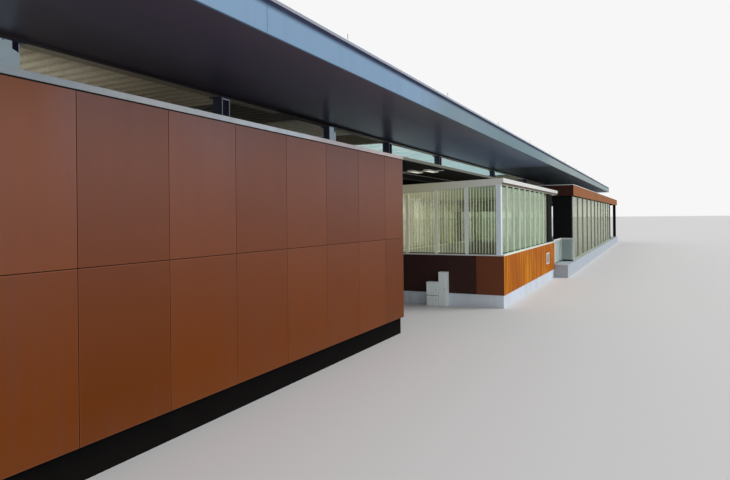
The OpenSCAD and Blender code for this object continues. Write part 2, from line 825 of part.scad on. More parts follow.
// Waiting box: panels on the track face, the near face and the rear face
module box_panels() {
    z = [box_plinth_h, parapet_top];
    color(RUST_LIGHT) site() {
        translate([box_x[0], box_y[0], 0])
            panel_row(box_x[1] - box_x[0], 0, parapet_panel_w, z);
        translate([box_x[0], box_core_y[1], 0])
            panel_row(box_x[1] - box_x[0], 0, parapet_panel_w, z);
        translate([box_core_x[0], box_y[0], 0])
            rotate([0, 0, 90])
                panel_row(box_y[1] - box_y[0], panel_t, parapet_panel_w, z);
    }
}

// Posts along X between two places, with equal spacing no wider than the pitch
function post_places(from, to, pitch) = let (n = ceil((to - from) / pitch))
    [for (i = [1:n - 1]) from + i * (to - from) / n];

// Waiting box: sill, corner posts and glazing posts
module box_frame() {
    near_x = [glaze_x, glaze_x + post_w];
    track_y = [glaze_y[0], glaze_y[0] + post_w];
    rear_y = [glaze_y[1] - post_w, glaze_y[1]];
    color(WHITE) site() {
        span(box_x, [box_y[0], box_room_y[0]], [parapet_top, sill_top]);
        span(box_x, [box_room_y[1], box_y[1]], [parapet_top, sill_top]);
        span([box_x[0], box_room_x[0]], [box_room_y[0] + fit, box_room_y[1] - fit],
            [parapet_top, sill_top]);
        for (v = corner_mid)
            under_slope([glaze_x, glaze_x + corner_w], [v - corner_w / 2, v + corner_w / 2],
                sill_top + fit);
        for (v = post_places(corner_mid[0], corner_mid[1], post_pitch))
            under_slope(near_x, [v - post_w / 2, v + post_w / 2], sill_top + fit);
        for (u = post_places(glaze_x, pier_x[0], post_pitch), y = [track_y, rear_y])
            under_slope([u - slim_w / 2, u + slim_w / 2], y, sill_top + fit);
        under_slope([pier_x[0] - post_w, pier_x[0]], rear_y, sill_top + fit);
    }
}

// Waiting box: glass between the posts of the three closed sides
module box_glass() {
    mid = (post_w - glass_t) / 2;
    near_stops = concat([glaze_y[0] + corner_w],
        post_places(corner_mid[0], corner_mid[1], post_pitch), [glaze_y[1] - corner_w]);
    long_stops = concat([glaze_x + corner_w], post_places(glaze_x, pier_x[0], post_pitch),
        [pier_x[0]]);
    near_last = len(near_stops) - 2;
    long_last = len(long_stops) - 2;
    color(GLASS) site() {
        for (i = [0:near_last])
            under_slope([glaze_x + mid, glaze_x + mid + glass_t],
                [near_stops[i] + (i == 0 ? 0 : post_w / 2),
                    near_stops[i + 1] - (i == near_last ? 0 : post_w / 2)], sill_top);
        for (i = [0:long_last]) {
            a = long_stops[i] + (i == 0 ? 0 : slim_w / 2);
            b = long_stops[i + 1] - (i == long_last ? 0 : slim_w / 2);
            under_slope([a, b], [glaze_y[0] + mid, glaze_y[0] + mid + glass_t], sill_top);
            under_slope([a, b - (i == long_last ? post_w : 0)],
                [glaze_y[1] - mid - glass_t, glaze_y[1] - mid], sill_top);
        }
    }
}

// Waiting box: black closed bay at the open end, on the track side and the rear side
module box_end_pier() {
    color(BLACK) site()
        for (y = [[glaze_y[0], box_room_y[0]], [box_room_y[1], glaze_y[1]]])
            under_slope(pier_x, y, sill_top);
}

// Waiting box: posts, transom and bulkhead of the open end
module box_end_frame() {
    x = [box_x[1] - post_w, box_x[1]];
    clear_y = [box_room_y[0] + post_w + fit, box_room_y[1] - post_w - fit];
    color(WHITE) site() {
        for (y = [[box_room_y[0], box_room_y[0] + post_w], [box_room_y[1] - post_w, box_room_y[1]]])
            under_slope(x, y, floor_h);
        span(x, clear_y, [transom_z, transom_z + transom_t]);
        span([x[0] + slim_w / 2, x[1] - slim_w / 2], clear_y,
            [transom_z + transom_t + fit, transom_z + transom_t + bulkhead_h]);
    }
}

// Waiting box: roof that falls away from the track, with a nose along its track edge
module box_roof() {
    color(WHITE) site()
        translate([box_x[0], 0, 0])
            rotate([90, 0, 90])
                linear_extrude(box_x[1] - box_x[0] + box_overhang)
                    polygon([[box_y[0] + box_nose_in, box_head_at(box_y[0] + box_nose_in)],
                        [box_y[1], box_head_at(box_y[1])], [box_y[1], box_top_at(box_y[1])],
                        [box_y[0], box_top_at(box_y[0])],
                        [box_y[0], box_top_at(box_y[0]) - box_nose_h],
                        [box_y[0] + box_nose_in, box_top_at(box_y[0]) - box_nose_h]]);
}

// Two service cabinets that stand against the near face of the waiting box
module service_cabinets() {
    x = [box_x[0] - cabinet_d, box_x[0]];
    tall_y = box_y[0] + cabinet_inset;
    low_y = tall_y + cabinet_tall_w + cabinet_gap;
    color(WHITE) site() {
        span(x, [tall_y, tall_y + cabinet_tall_w], [0, cabinet_tall]);
        difference() {
            span(x, [low_y, low_y + cabinet_low_w], [0, cabinet_low]);
            span([x[0] - 1, x[0] + cabinet_joint], [low_y - 1, low_y + cabinet_low_w + 1],
                [cabinet_split - cabinet_joint / 2, cabinet_split + cabinet_joint / 2]);
        }
    }
}

// Corner of the balustrade, in front of the hall's near end
rail_x = [box_x[1], hall_x[0]];
rail_y = [0, box_y[0] + rail_post];
rail_top = floor_h + rail_h;

// Balustrade: square posts and the handrail
module balustrade_posts() {
    post_z = [floor_h, rail_top - rail_post - fit];
    color(PALE) site() {
        for (x = [rail_x[0], (rail_x[0] + rail_x[1] - rail_post) / 2, rail_x[1] - rail_post])
            span([x, x + rail_post], [rail_y[1] - rail_post, rail_y[1]], post_z);
        span([rail_x[1] - rail_post, rail_x[1]], [rail_y[0], rail_y[0] + rail_post], post_z);
        span(rail_x, [rail_y[1] - rail_post, rail_y[1]], [rail_top - rail_post, rail_top]);
        span([rail_x[1] - rail_post, rail_x[1]], [rail_y[0], rail_y[1] - rail_post - fit],
            [rail_top - rail_post, rail_top]);
    }
}

// Balustrade: glass panels between the posts
module balustrade_glass() {
    mid = (rail_post - glass_t) / 2;
    half = (rail_x[0] + rail_x[1] - rail_post) / 2;
    z = [floor_h + rail_gap, rail_top - rail_post];
    y = [rail_y[1] - rail_post + mid, rail_y[1] - rail_post + mid + glass_t];
    color(GLASS) site() {
        span([rail_x[0] + rail_post, half], y, z);
        span([half + rail_post, rail_x[1] - rail_post], y, z);
        span([rail_x[1] - rail_post + mid, rail_x[1] - rail_post + mid + glass_t],
            [rail_y[0] + rail_post, rail_y[1] - rail_post], z);
    }
}

// Hall and concourse: two floor slabs from the office block to the hall's far end
module platform_floor() {
    color(CONCRETE) site() {
        span([block_x[1], box_x[1] - fit], [box_y[1], hall_y[1]], [0, floor_h]);
        span([box_x[1], hall_x[1]], hall_y, [0, floor_h]);
    }
}

// Hall: black corner piers, outer columns and the two inner rows
module hall_columns() {
    z = [floor_h, wall_top];
    outer_y = [[hall_col_y[0], 1], [hall_col_y[1], -1]];
    color(BLACK) site() {
        for (v = outer_y) {
            near_y = v[1] > 0 ? [v[0], v[0] + pier_deep] : [v[0] - pier_deep, v[0]];
            side_y = v[1] > 0 ? [v[0], v[0] + hall_col_w] : [v[0] - hall_col_w, v[0]];
            span([hall_col_x[0], hall_col_x[0] + pier_w], near_y, z);
            span([screen_x[1], screen_x[1] + hall_col_w], side_y, z);
            span([hall_col_x[1] - hall_col_w, hall_col_x[1]], side_y, z);
        }
        for (k = HALL_BAYS, y = rows)
            h_column(station(k), y, z);
    }
}

// Hall: rust-coloured fascia around the flat roof
module hall_fascia() {
    color(RUST) site() ring_bars(hall_face_x, hall_face_y, hall_fascia_z, hall_fascia_t, seam / 2);
}

// Hall: flat roof slab inside the fascia
module hall_roof_slab() {
    color(DARK) site() span(hall_slab_x, hall_slab_y, [wall_top, low_top]);
}

// One glazed screen of the hall: rails and posts
module screen_frame_at(y) {
    z = [floor_h, wall_top];
    places = post_places(screen_x[0], screen_x[1], screen_bay);
    span(screen_x, y, [z[0], z[0] + screen_rail]);
    span(screen_x, y, [z[1] - screen_rail, z[1]]);
    for (x = places)
        span([x - slim_w / 2, x + slim_w / 2], y, [z[0] + screen_rail + fit, z[1] - screen_rail - fit]);
}

// Places of the two screens across the hall
screen_y = [[hall_col_y[0], hall_col_y[0] + post_w], [hall_col_y[1] - post_w, hall_col_y[1]]];

// Hall: frames of the track screen and the rear screen
module hall_screen_frames() {
    color(PALE) site()
        for (y = screen_y)
            screen_frame_at(y);
}

// Hall: glass of the track screen and the rear screen
module hall_screen_glass() {
    mid = (post_w - glass_t) / 2;
    z = [floor_h + screen_rail, wall_top - screen_rail];
    stops = concat([screen_x[0]], post_places(screen_x[0], screen_x[1], screen_bay), [screen_x[1]]);
    last = len(stops) - 2;
    color(GLASS) site()
        for (y = screen_y, i = [0:last])
            span([stops[i] + (i == 0 ? 0 : slim_w / 2), stops[i + 1] - (i == last ? 0 : slim_w / 2)],
                [y[0] + mid, y[0] + mid + glass_t], z);
}

block_plinth();
block_floor();
block_track_wall();
block_rear_wall();
block_end_wall();
block_concourse_wall();
block_track_panels();
block_rear_panels();
block_end_panels();
block_door();
block_roof_slab();
block_coping();
canopy_slab();
low_roof_edges();
canopy_beams();
canopy_columns();
canopy_lights();
stub_columns();
roof_beams();
roof_edge_frame();
soffit_sheets();
roof_fascia();
roof_cover();
roof_capping();
ribbed_deck();
rooflight_frame();
rooflight_glass();
box_plinth();
box_floor();
box_parapet();
box_panels();
box_frame();
box_glass();
box_end_pier();
box_end_frame();
box_roof();
service_cabinets();
balustrade_posts();
balustrade_glass();
platform_floor();
hall_columns();
hall_fascia();
hall_roof_slab();
hall_screen_frames();
hall_screen_glass();
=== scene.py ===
"""Looks of a modern railway station building at half its real size.

A clad office block, an open concourse, a glazed waiting box and an open hall stand in one row under
one long flat roof. Every length is in metres of the half-size model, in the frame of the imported
parts: +X runs along the building, -Y is its front and +Z is up.
"""
import json
import logging
import math
from collections.abc import Sequence
from dataclasses import dataclass, replace
from enum import Enum

import bpy
import numpy as np
from mathutils import Matrix, Vector


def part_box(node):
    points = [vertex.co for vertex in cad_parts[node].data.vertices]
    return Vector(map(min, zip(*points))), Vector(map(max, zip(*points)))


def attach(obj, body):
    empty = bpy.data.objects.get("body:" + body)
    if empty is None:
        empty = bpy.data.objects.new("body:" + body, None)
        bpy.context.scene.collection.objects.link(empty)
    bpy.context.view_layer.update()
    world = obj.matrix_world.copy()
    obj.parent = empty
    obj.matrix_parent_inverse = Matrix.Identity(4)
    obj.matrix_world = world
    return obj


LOG = logging.getLogger("station")
BODY = "root"
GROUND = 0.0
SHARP_ANGLE = math.radians(35)
PIPE_SIDES = 10
# Taken off a quotient before it is rounded up.
ROUNDING = 1e-6
# Left open between two pieces that nearly touch.
CLEAR = 0.0005
# Least distance of a seam or a joint from the end of its sheet.
END_LEFT = 0.2
WHITE = (1.0, 1.0, 1.0)

Colour = tuple[float, float, float]
Values = Sequence[float]
Socket = bpy.types.NodeSocket

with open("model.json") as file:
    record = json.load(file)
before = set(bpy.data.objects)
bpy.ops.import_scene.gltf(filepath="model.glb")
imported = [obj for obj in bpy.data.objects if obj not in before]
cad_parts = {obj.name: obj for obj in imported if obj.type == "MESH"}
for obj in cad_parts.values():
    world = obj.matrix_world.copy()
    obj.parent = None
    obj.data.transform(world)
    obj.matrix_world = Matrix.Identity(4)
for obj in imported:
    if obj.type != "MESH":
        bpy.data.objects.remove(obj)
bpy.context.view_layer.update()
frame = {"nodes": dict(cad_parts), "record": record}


def rgb(red: int, green: int, blue: int) -> Colour:
    """Turn a display colour, each value from 0 to 255, into the linear colour that shaders use."""
    shares = (value / 255 for value in (red, green, blue))
    return tuple(s / 12.92 if s <= 0.04045 else ((s + 0.055) / 1.055) ** 2.4 for s in shares)


@dataclass
class Surface:
    """Points and faces of a mesh before it goes into Blender.

    Attributes:
        points: Array of places, one row a point.
        faces: Arrays of corner numbers, one row a face; each array has its own number of corners.
    """

    points: np.ndarray
    faces: list[np.ndarray]

    @classmethod
    def join(cls, parts: Sequence["Surface"]) -> "Surface":
        """Put several surfaces into one, each with its own points.

        Args:
            parts: The surfaces to join.

        Returns:
            One surface with every point and face.
        """
        starts = np.cumsum([0] + [len(part.points) for part in parts])
        faces = [array + start for part, start in zip(parts, starts) for array in part.faces]
        return cls(np.concatenate([part.points for part in parts]), faces)

    def tiled(self, offsets: np.ndarray) -> "Surface":
        """Repeat the surface: every copy is the same points plus one offset.

        Args:
            offsets: Array of shifts, one row a copy.

        Returns:
            One surface with all the copies.
        """
        offsets = np.atleast_2d(np.asarray(offsets, dtype=float))
        points = (self.points[None] + offsets[:, None]).reshape(-1, 3)
        starts = (np.arange(len(offsets)) * len(self.points))[:, None, None]
        return Surface(points, [(a[None] + starts).reshape(-1, a.shape[1]) for a in self.faces])

    def turned(self, axis: str, degrees: float) -> "Surface":
        """Turn the surface about the axis X, Y or Z through the origin, by an angle in degrees."""
        turn = np.array(Matrix.Rotation(math.radians(degrees), 3, axis))
        return Surface(self.points @ turn.T, self.faces)


def corner_choices(low: np.ndarray, high: np.ndarray) -> tuple[np.ndarray, np.ndarray, np.ndarray]:
    """Work out the eight corners of boxes, each the low point plus 0 or 1 times the size on each axis.

    Args:
        low: Array of lowest corners, one row a box.
        high: Array of highest corners, one row a box.

    Returns:
        The choices of 0 or 1, the corners of every box, and the numbers of the boxes.
    """
    low, high = (np.atleast_2d(np.asarray(corner, dtype=float)) for corner in (low, high))
    low, high = np.broadcast_arrays(low, high)
    choice = np.stack(np.unravel_index(np.arange(8), (2, 2, 2))[::-1], axis=1)
    return choice, low[:, None] + choice * (high - low)[:, None], np.arange(len(low))[:, None, None]


def boxes(low: np.ndarray, high: np.ndarray) -> Surface:
    """Make plain boxes.

    Args:
        low: Array of lowest corners, one row a box.
        high: Array of highest corners, one row a box.

    Returns:
        One surface with all the boxes.
    """
    _, points, number = corner_choices(low, high)
    quads = np.array([[0, 2, 3, 1], [4, 5, 7, 6], [0, 1, 5, 4], [2, 6, 7, 3], [0, 4, 6, 2], [1, 3, 7, 5]])
    return Surface(points.reshape(-1, 3), [(quads[None] + number * 8).reshape(-1, 4)])


def soft_boxes(low: np.ndarray, high: np.ndarray, edge: float) -> Surface:
    """Make boxes with bevelled edges.

    Each corner of a box gives three points, one for each face that meets there, and a face's point
    lies the bevel's width in from the corner on the two axes that run along that face.

    Args:
        low: Array of lowest corners, one row a box.
        high: Array of highest corners, one row a box.
        edge: Width of the bevel.

    Returns:
        One surface with all the boxes.
    """
    choice, corner, box = corner_choices(low, high)
    inward = (1 - 2 * choice)[:, None] * (1 - np.eye(3))[None] * edge
    points = (corner[:, :, None] + inward[None]).reshape(len(box), 24, 3)
    number = np.arange(24).reshape(2, 2, 2, 3)
    quads = []
    for axis in range(3):
        other = [a for a in range(3) if a != axis]
        sides = np.moveaxis(number[..., axis], 2 - axis, 0).reshape(2, 4)
        quads.append(sides[:, [0, 1, 3, 2]])
        rims = np.moveaxis(number[..., other], 2 - axis, 0).reshape(2, 4, 2)
        quads.append(np.stack([rims[0, :, 0], rims[0, :, 1], rims[1, :, 1], rims[1, :, 0]], axis=1))
    quads = np.concatenate(quads)
    corners = number.reshape(8, 3)
    faces = [outward(points[0], quads), outward(points[0], corners)]
    return Surface(points.reshape(-1, 3), [(a[None] + box * 24).reshape(-1, a.shape[1]) for a in faces])


def outward(points: np.ndarray, faces: np.ndarray) -> np.ndarray:
    """Turn the faces of a convex shape so that each one points away from the middle.

    Args:
        points: The shape's points.
        faces: Array of corner numbers.

    Returns:
        The faces, with the order of corners reversed where it was wrong.
    """
    corner = points[faces]
    normal = np.cross(corner[:, 1] - corner[:, 0], corner[:, 2] - corner[:, 0])
    away = corner.mean(axis=1) - points.mean(axis=0)
    wrong = np.einsum("ij,ij->i", normal, away) < 0
    return np.where(wrong[:, None], faces[:, ::-1], faces)


def grid_faces(rows: int, columns: int, wrap_rows: bool, wrap_columns: bool) -> np.ndarray:
    """Join a grid of points with four-sided faces.

    Args:
        rows: Number of rows of points.
        columns: Number of points in a row.
        wrap_rows: Whether the last row joins the first one.
        wrap_columns: Whether the last point of a row joins its first one.

    Returns:
        Array of faces with four corners each.
    """
    i, j = np.meshgrid(np.arange(rows - (not wrap_rows)), np.arange(columns - (not wrap_columns)),
                       indexing="ij")
    k, m = (i + 1) % rows, (j + 1) % columns
    corners = [i * columns + j, k * columns + j, k * columns + m, i * columns + m]
    return np.stack(corners, axis=-1).reshape(-1, 4)


def swept(profile: np.ndarray, path: np.ndarray, closed: bool) -> Surface:
    """Carry a closed profile along a path in plan, with mitred corners.

    A point of the profile stands its first value out from the path, to the path's right, and its
    second value up. At a corner the way out is the mitre, which is the sum of both sides' ways out
    over one plus the cosine of the turn. The faces look outward where the profile runs clockwise as
    seen against the path, so a profile whose signed area says otherwise is reversed.

    Args:
        profile: Array of points out and up, in either order around.
        path: Array of places in plan and height.
        closed: Whether the path ends where it starts.

    Returns:
        The swept surface, closed at its ends.
    """
    path = np.asarray(path, dtype=float)
    profile = np.asarray(profile, dtype=float)
    ahead = np.roll(profile, -1, axis=0)
    if (profile[:, 0] * ahead[:, 1] - profile[:, 1] * ahead[:, 0]).sum() > 0:
        profile = profile[::-1]
    step = np.roll(path, -1, axis=0) - path
    step = step[:, :2] / np.linalg.norm(step[:, :2], axis=1)[:, None]
    after = np.stack([step[:, 1], -step[:, 0]], axis=1)
    before = np.roll(after, 1, axis=0)
    if not closed:
        before[0], after[-1] = after[0], before[-1]
    mitre = (before + after) / (1 + (before * after).sum(axis=1))[:, None]
    rise = np.broadcast_to(profile[None, :, 1:], (len(path), len(profile), 1))
    place = path[:, None] + np.concatenate([mitre[:, None] * profile[None, :, :1], rise], axis=2)
    faces = [grid_faces(len(path), len(profile), closed, True)[:, ::-1]]
    if not closed:
        ring = np.arange(len(profile))
        faces.append(np.stack([ring[::-1], ring + (len(path) - 1) * len(profile)]))
    return Surface(place.reshape(-1, 3), faces)


def revolved(profile: np.ndarray, steps: int, flats: int = 0) -> Surface:
    """Turn a profile about the Z axis, with a cap at each end.

    The radius is the profile's first value. With flats, it is divided by the cosine of the angle
    from the middle of the nearest flat, so that the ring is a polygon with that many sides.

    Args:
        profile: Array of radius and height from the bottom to the top.
        steps: Number of points around.
        flats: Number of flat sides, or 0 for a round ring.

    Returns:
        The closed surface.
    """
    profile = np.asarray(profile, dtype=float)
    ring = np.arange(steps)
    angle = ring * 2 * np.pi / steps
    reach = np.ones(steps)
    if flats:
        sector = 2 * np.pi / flats
        reach = 1 / np.cos((angle + sector / 2) % sector - sector / 2)
    around = np.stack([np.cos(angle) * reach, np.sin(angle) * reach], axis=1)
    rise = np.broadcast_to(profile[:, None, 1:], (len(profile), steps, 1))
    points = np.concatenate([profile[:, None, :1] * around[None], rise], axis=2)
    caps = np.stack([ring[::-1], ring + (len(profile) - 1) * steps])
    return Surface(points.reshape(-1, 3), [grid_faces(len(profile), steps, False, True)[:, ::-1], caps])


def tube(path: np.ndarray, radius: float, sides: int = 8) -> Surface:
    """Carry a circle along a path in space.

    Each ring stands square to the mean of the two directions that meet at its point, and its first
    axis is level.

    Args:
        path: Array of places along the tube's middle.
        radius: Radius of the tube.
        sides: Number of points around.

    Returns:
        The closed tube.
    """
    path = np.asarray(path, dtype=float)
    along = np.gradient(path, axis=0)
    along /= np.linalg.norm(along, axis=1)[:, None]
    up = np.where(np.abs(along[:, 2:]) > 0.9, [[0.0, 1.0, 0.0]], [[0.0, 0.0, 1.0]])
    level = np.cross(along, up)
    level /= np.linalg.norm(level, axis=1)[:, None]
    rise = np.cross(level, along)
    number = np.arange(sides)
    angle = (number * 2 * np.pi / sides)[None, :, None]
    points = path[:, None] + radius * (level[:, None] * np.cos(angle) + rise[:, None] * np.sin(angle))
    caps = np.stack([number, number[::-1] + (len(path) - 1) * sides])
    return Surface(points.reshape(-1, 3), [grid_faces(len(path), sides, False, True), caps])


def rectangle(x: Values, y: Values, z: float) -> np.ndarray:
    """Give the corners of a level rectangle from its ends in X and Y, counter-clockwise from above."""
    return np.array([[x[0], y[0], z], [x[1], y[0], z], [x[1], y[1], z], [x[0], y[1], z]])


def cells(*axes: Values) -> np.ndarray:
    """Give every combination of the values on three axes, one row a place."""
    return np.stack(np.meshgrid(*axes, indexing="ij"), axis=-1).reshape(-1, len(axes))


def equal_boxes(x: Values, y: Values, z: Values, size: Values) -> Surface:
    """Make plain boxes of one size, with their lowest corners at every combination of the values."""
    corner = cells(x, y, z)
    return boxes(corner, corner + size)


def steps_between(low: float, high: float, pitch: float) -> np.ndarray:
    """Give places one pitch apart, centred between two ends and half a pitch or more from both."""
    count = max(1, int((high - low) / pitch))
    return (low + high) / 2 + (np.arange(count) - (count - 1) / 2) * pitch


class Nodes:
    """Short calls that add and join the nodes of one tree."""

    def __init__(self, tree: bpy.types.NodeTree) -> None:
        """Work in the node tree of a material, a world or a group."""
        self.tree = tree

    def add(self, kind: str, **values: object) -> bpy.types.Node:
        """Add a node and set its properties.

        Args:
            kind: The node's type.
            values: Properties of the node.

        Returns:
            The node.
        """
        node = self.tree.nodes.new(kind)
        for key, value in values.items():
            setattr(node, key, value)
        return node

    def put(self, value: object, socket: Socket) -> None:
        """Link a socket to another one, or set a plain value on it; a colour gets its fourth number.

        Args:
            value: The other socket, or a number, a colour or a vector.
            socket: The input that takes it.
        """
        if isinstance(value, bpy.types.NodeSocket):
            self.tree.links.new(value, socket)
        else:
            socket.default_value = (*value, 1.0) if socket.type == "RGBA" else value

    def fill(self, node: bpy.types.Node, values: dict[str | int, object]) -> bpy.types.Node:
        """Link or set several of a node's inputs.

        Args:
            node: The node.
            values: What goes in, by the names or the numbers of the inputs.

        Returns:
            The same node.
        """
        for name, value in values.items():
            self.put(value, node.inputs[name])
        return node

    def math(self, operation: str, *values: object, clamp: bool = False) -> Socket:
        """Work out a number by the name of the sum, clamped to between 0 and 1 where that is asked."""
        node = self.add("ShaderNodeMath", operation=operation, use_clamp=clamp)
        return self.fill(node, dict(enumerate(values))).outputs[0]

    def times(self, first: object, second: object) -> Socket:
        """Multiply two numbers."""
        return self.math("MULTIPLY", first, second)

    def vector(self, operation: str, *values: object) -> Socket:
        """Work out a vector, by the name of the sum and what goes in."""
        node = self.add("ShaderNodeVectorMath", operation=operation)
        return self.fill(node, dict(enumerate(values))).outputs[0]

    def mix(self, share: object, first: object, second: object, blend: str = "MIX") -> Socket:
        """Mix two colours; the share says how much of the second one shows, and the blend says how."""
        node = self.add("ShaderNodeMix", data_type="RGBA", blend_type=blend, clamp_result=True)
        return self.fill(node, {0: share, 6: first, 7: second}).outputs[2]

    def scaled(self, colour: object, factor: Socket) -> Socket:
        """Multiply a colour by a number."""
        return self.mix(1.0, colour, self.whole(factor, factor, factor), "MULTIPLY")

    def spread(self, value: object, low: float, high: float, start: float = 0.0, end: float = 1.0) -> Socket:
        """Map a value smoothly: up to low it gives the start, and from high on it gives the end."""
        node = self.add("ShaderNodeMapRange", interpolation_type="SMOOTHSTEP")
        return self.fill(node, dict(enumerate((value, low, high, start, end)))).outputs[0]

    def noise(self, place: Socket, scale: object, detail: float) -> Socket:
        """Give soft noise over the place, with a scale and a number of finer layers."""
        node = self.add("ShaderNodeTexNoise")
        return self.fill(node, {"Vector": place, "Scale": scale, "Detail": detail}).outputs["Fac"]

    def parts(self, vector: Socket) -> list[Socket]:
        """Split a vector into its three numbers."""
        node = self.add("ShaderNodeSeparateXYZ")
        return list(self.fill(node, {0: vector}).outputs)

    def place(self) -> Socket:
        """Give the place on the object, in its own coordinates."""
        return self.add("ShaderNodeTexCoord").outputs["Object"]

    def along(self, axis: int) -> Socket:
        """Give the place on the object along one axis."""
        return self.parts(self.place())[axis]

    def normal(self) -> Socket:
        """Give the way that the surface looks."""
        return self.add("ShaderNodeNewGeometry").outputs["Normal"]

    def facing(self, axis: int, way: int) -> Socket:
        """Give 1 where the surface looks along an axis, way 1, or against it, way -1, and 0 elsewhere."""
        return self.math("GREATER_THAN", self.times(self.parts(self.normal())[axis], way), 0.5)

    def whole(self, x: object, y: object, z: object) -> Socket:
        """Join three numbers into a vector."""
        node = self.add("ShaderNodeCombineXYZ")
        return self.fill(node, {0: x, 1: y, 2: z}).outputs[0]


def add_object(name: str, data: bpy.types.ID) -> bpy.types.Object:
    """Put a new object into the scene.

    Args:
        name: Its name.
        data: Its mesh, camera or light.

    Returns:
        The object.
    """
    item = bpy.data.objects.new(name, data)
    bpy.context.scene.collection.objects.link(item)
    return item


def start_material(name: str) -> tuple[bpy.types.Material, Nodes, bpy.types.Node]:
    """Make a new material.

    Args:
        name: Its name.

    Returns:
        The material, its nodes and its main shader.
    """
    material = bpy.data.materials.new(name)
    material.use_nodes = True
    return material, Nodes(material.node_tree), material.node_tree.nodes["Principled BSDF"]


class Effect(Enum):
    """Effects that several finishes share, each one a node group."""

    GRAIN = "Fine grain"
    MOTTLING = "Soft mottling"
    # Rain streaks, and also the bands of painted reflection on the claddings.
    STREAKS = "Rain streaks"
    DUST = "Dust and splash"
    PANELS = "Panel layout"
    WAVES = "Sheet waves"


NUMBER = "NodeSocketFloat"
COLOUR = "NodeSocketColor"
VECTOR = "NodeSocketVector"
EFFECT_SOCKETS = {
    Effect.GRAIN: ([("Scale", NUMBER)], [("Height", NUMBER)]),
    Effect.MOTTLING: ([("Colour", COLOUR), ("Scale", NUMBER), ("Amount", NUMBER)], [("Colour", COLOUR)]),
    Effect.STREAKS: ([("Scale", NUMBER)], [("Mask", NUMBER)]),
    Effect.DUST: ([("Low", NUMBER), ("High", NUMBER)], [("Mask", NUMBER)]),
    Effect.PANELS: ([("Start", VECTOR), ("Pitch", NUMBER), ("Rise", NUMBER), ("Edge", NUMBER)],
                    [("Tone", NUMBER), ("Rim", NUMBER), ("Row", NUMBER), ("Climb", NUMBER)]),
    Effect.WAVES: ([("Length", NUMBER)], [("Height", NUMBER)]),
}


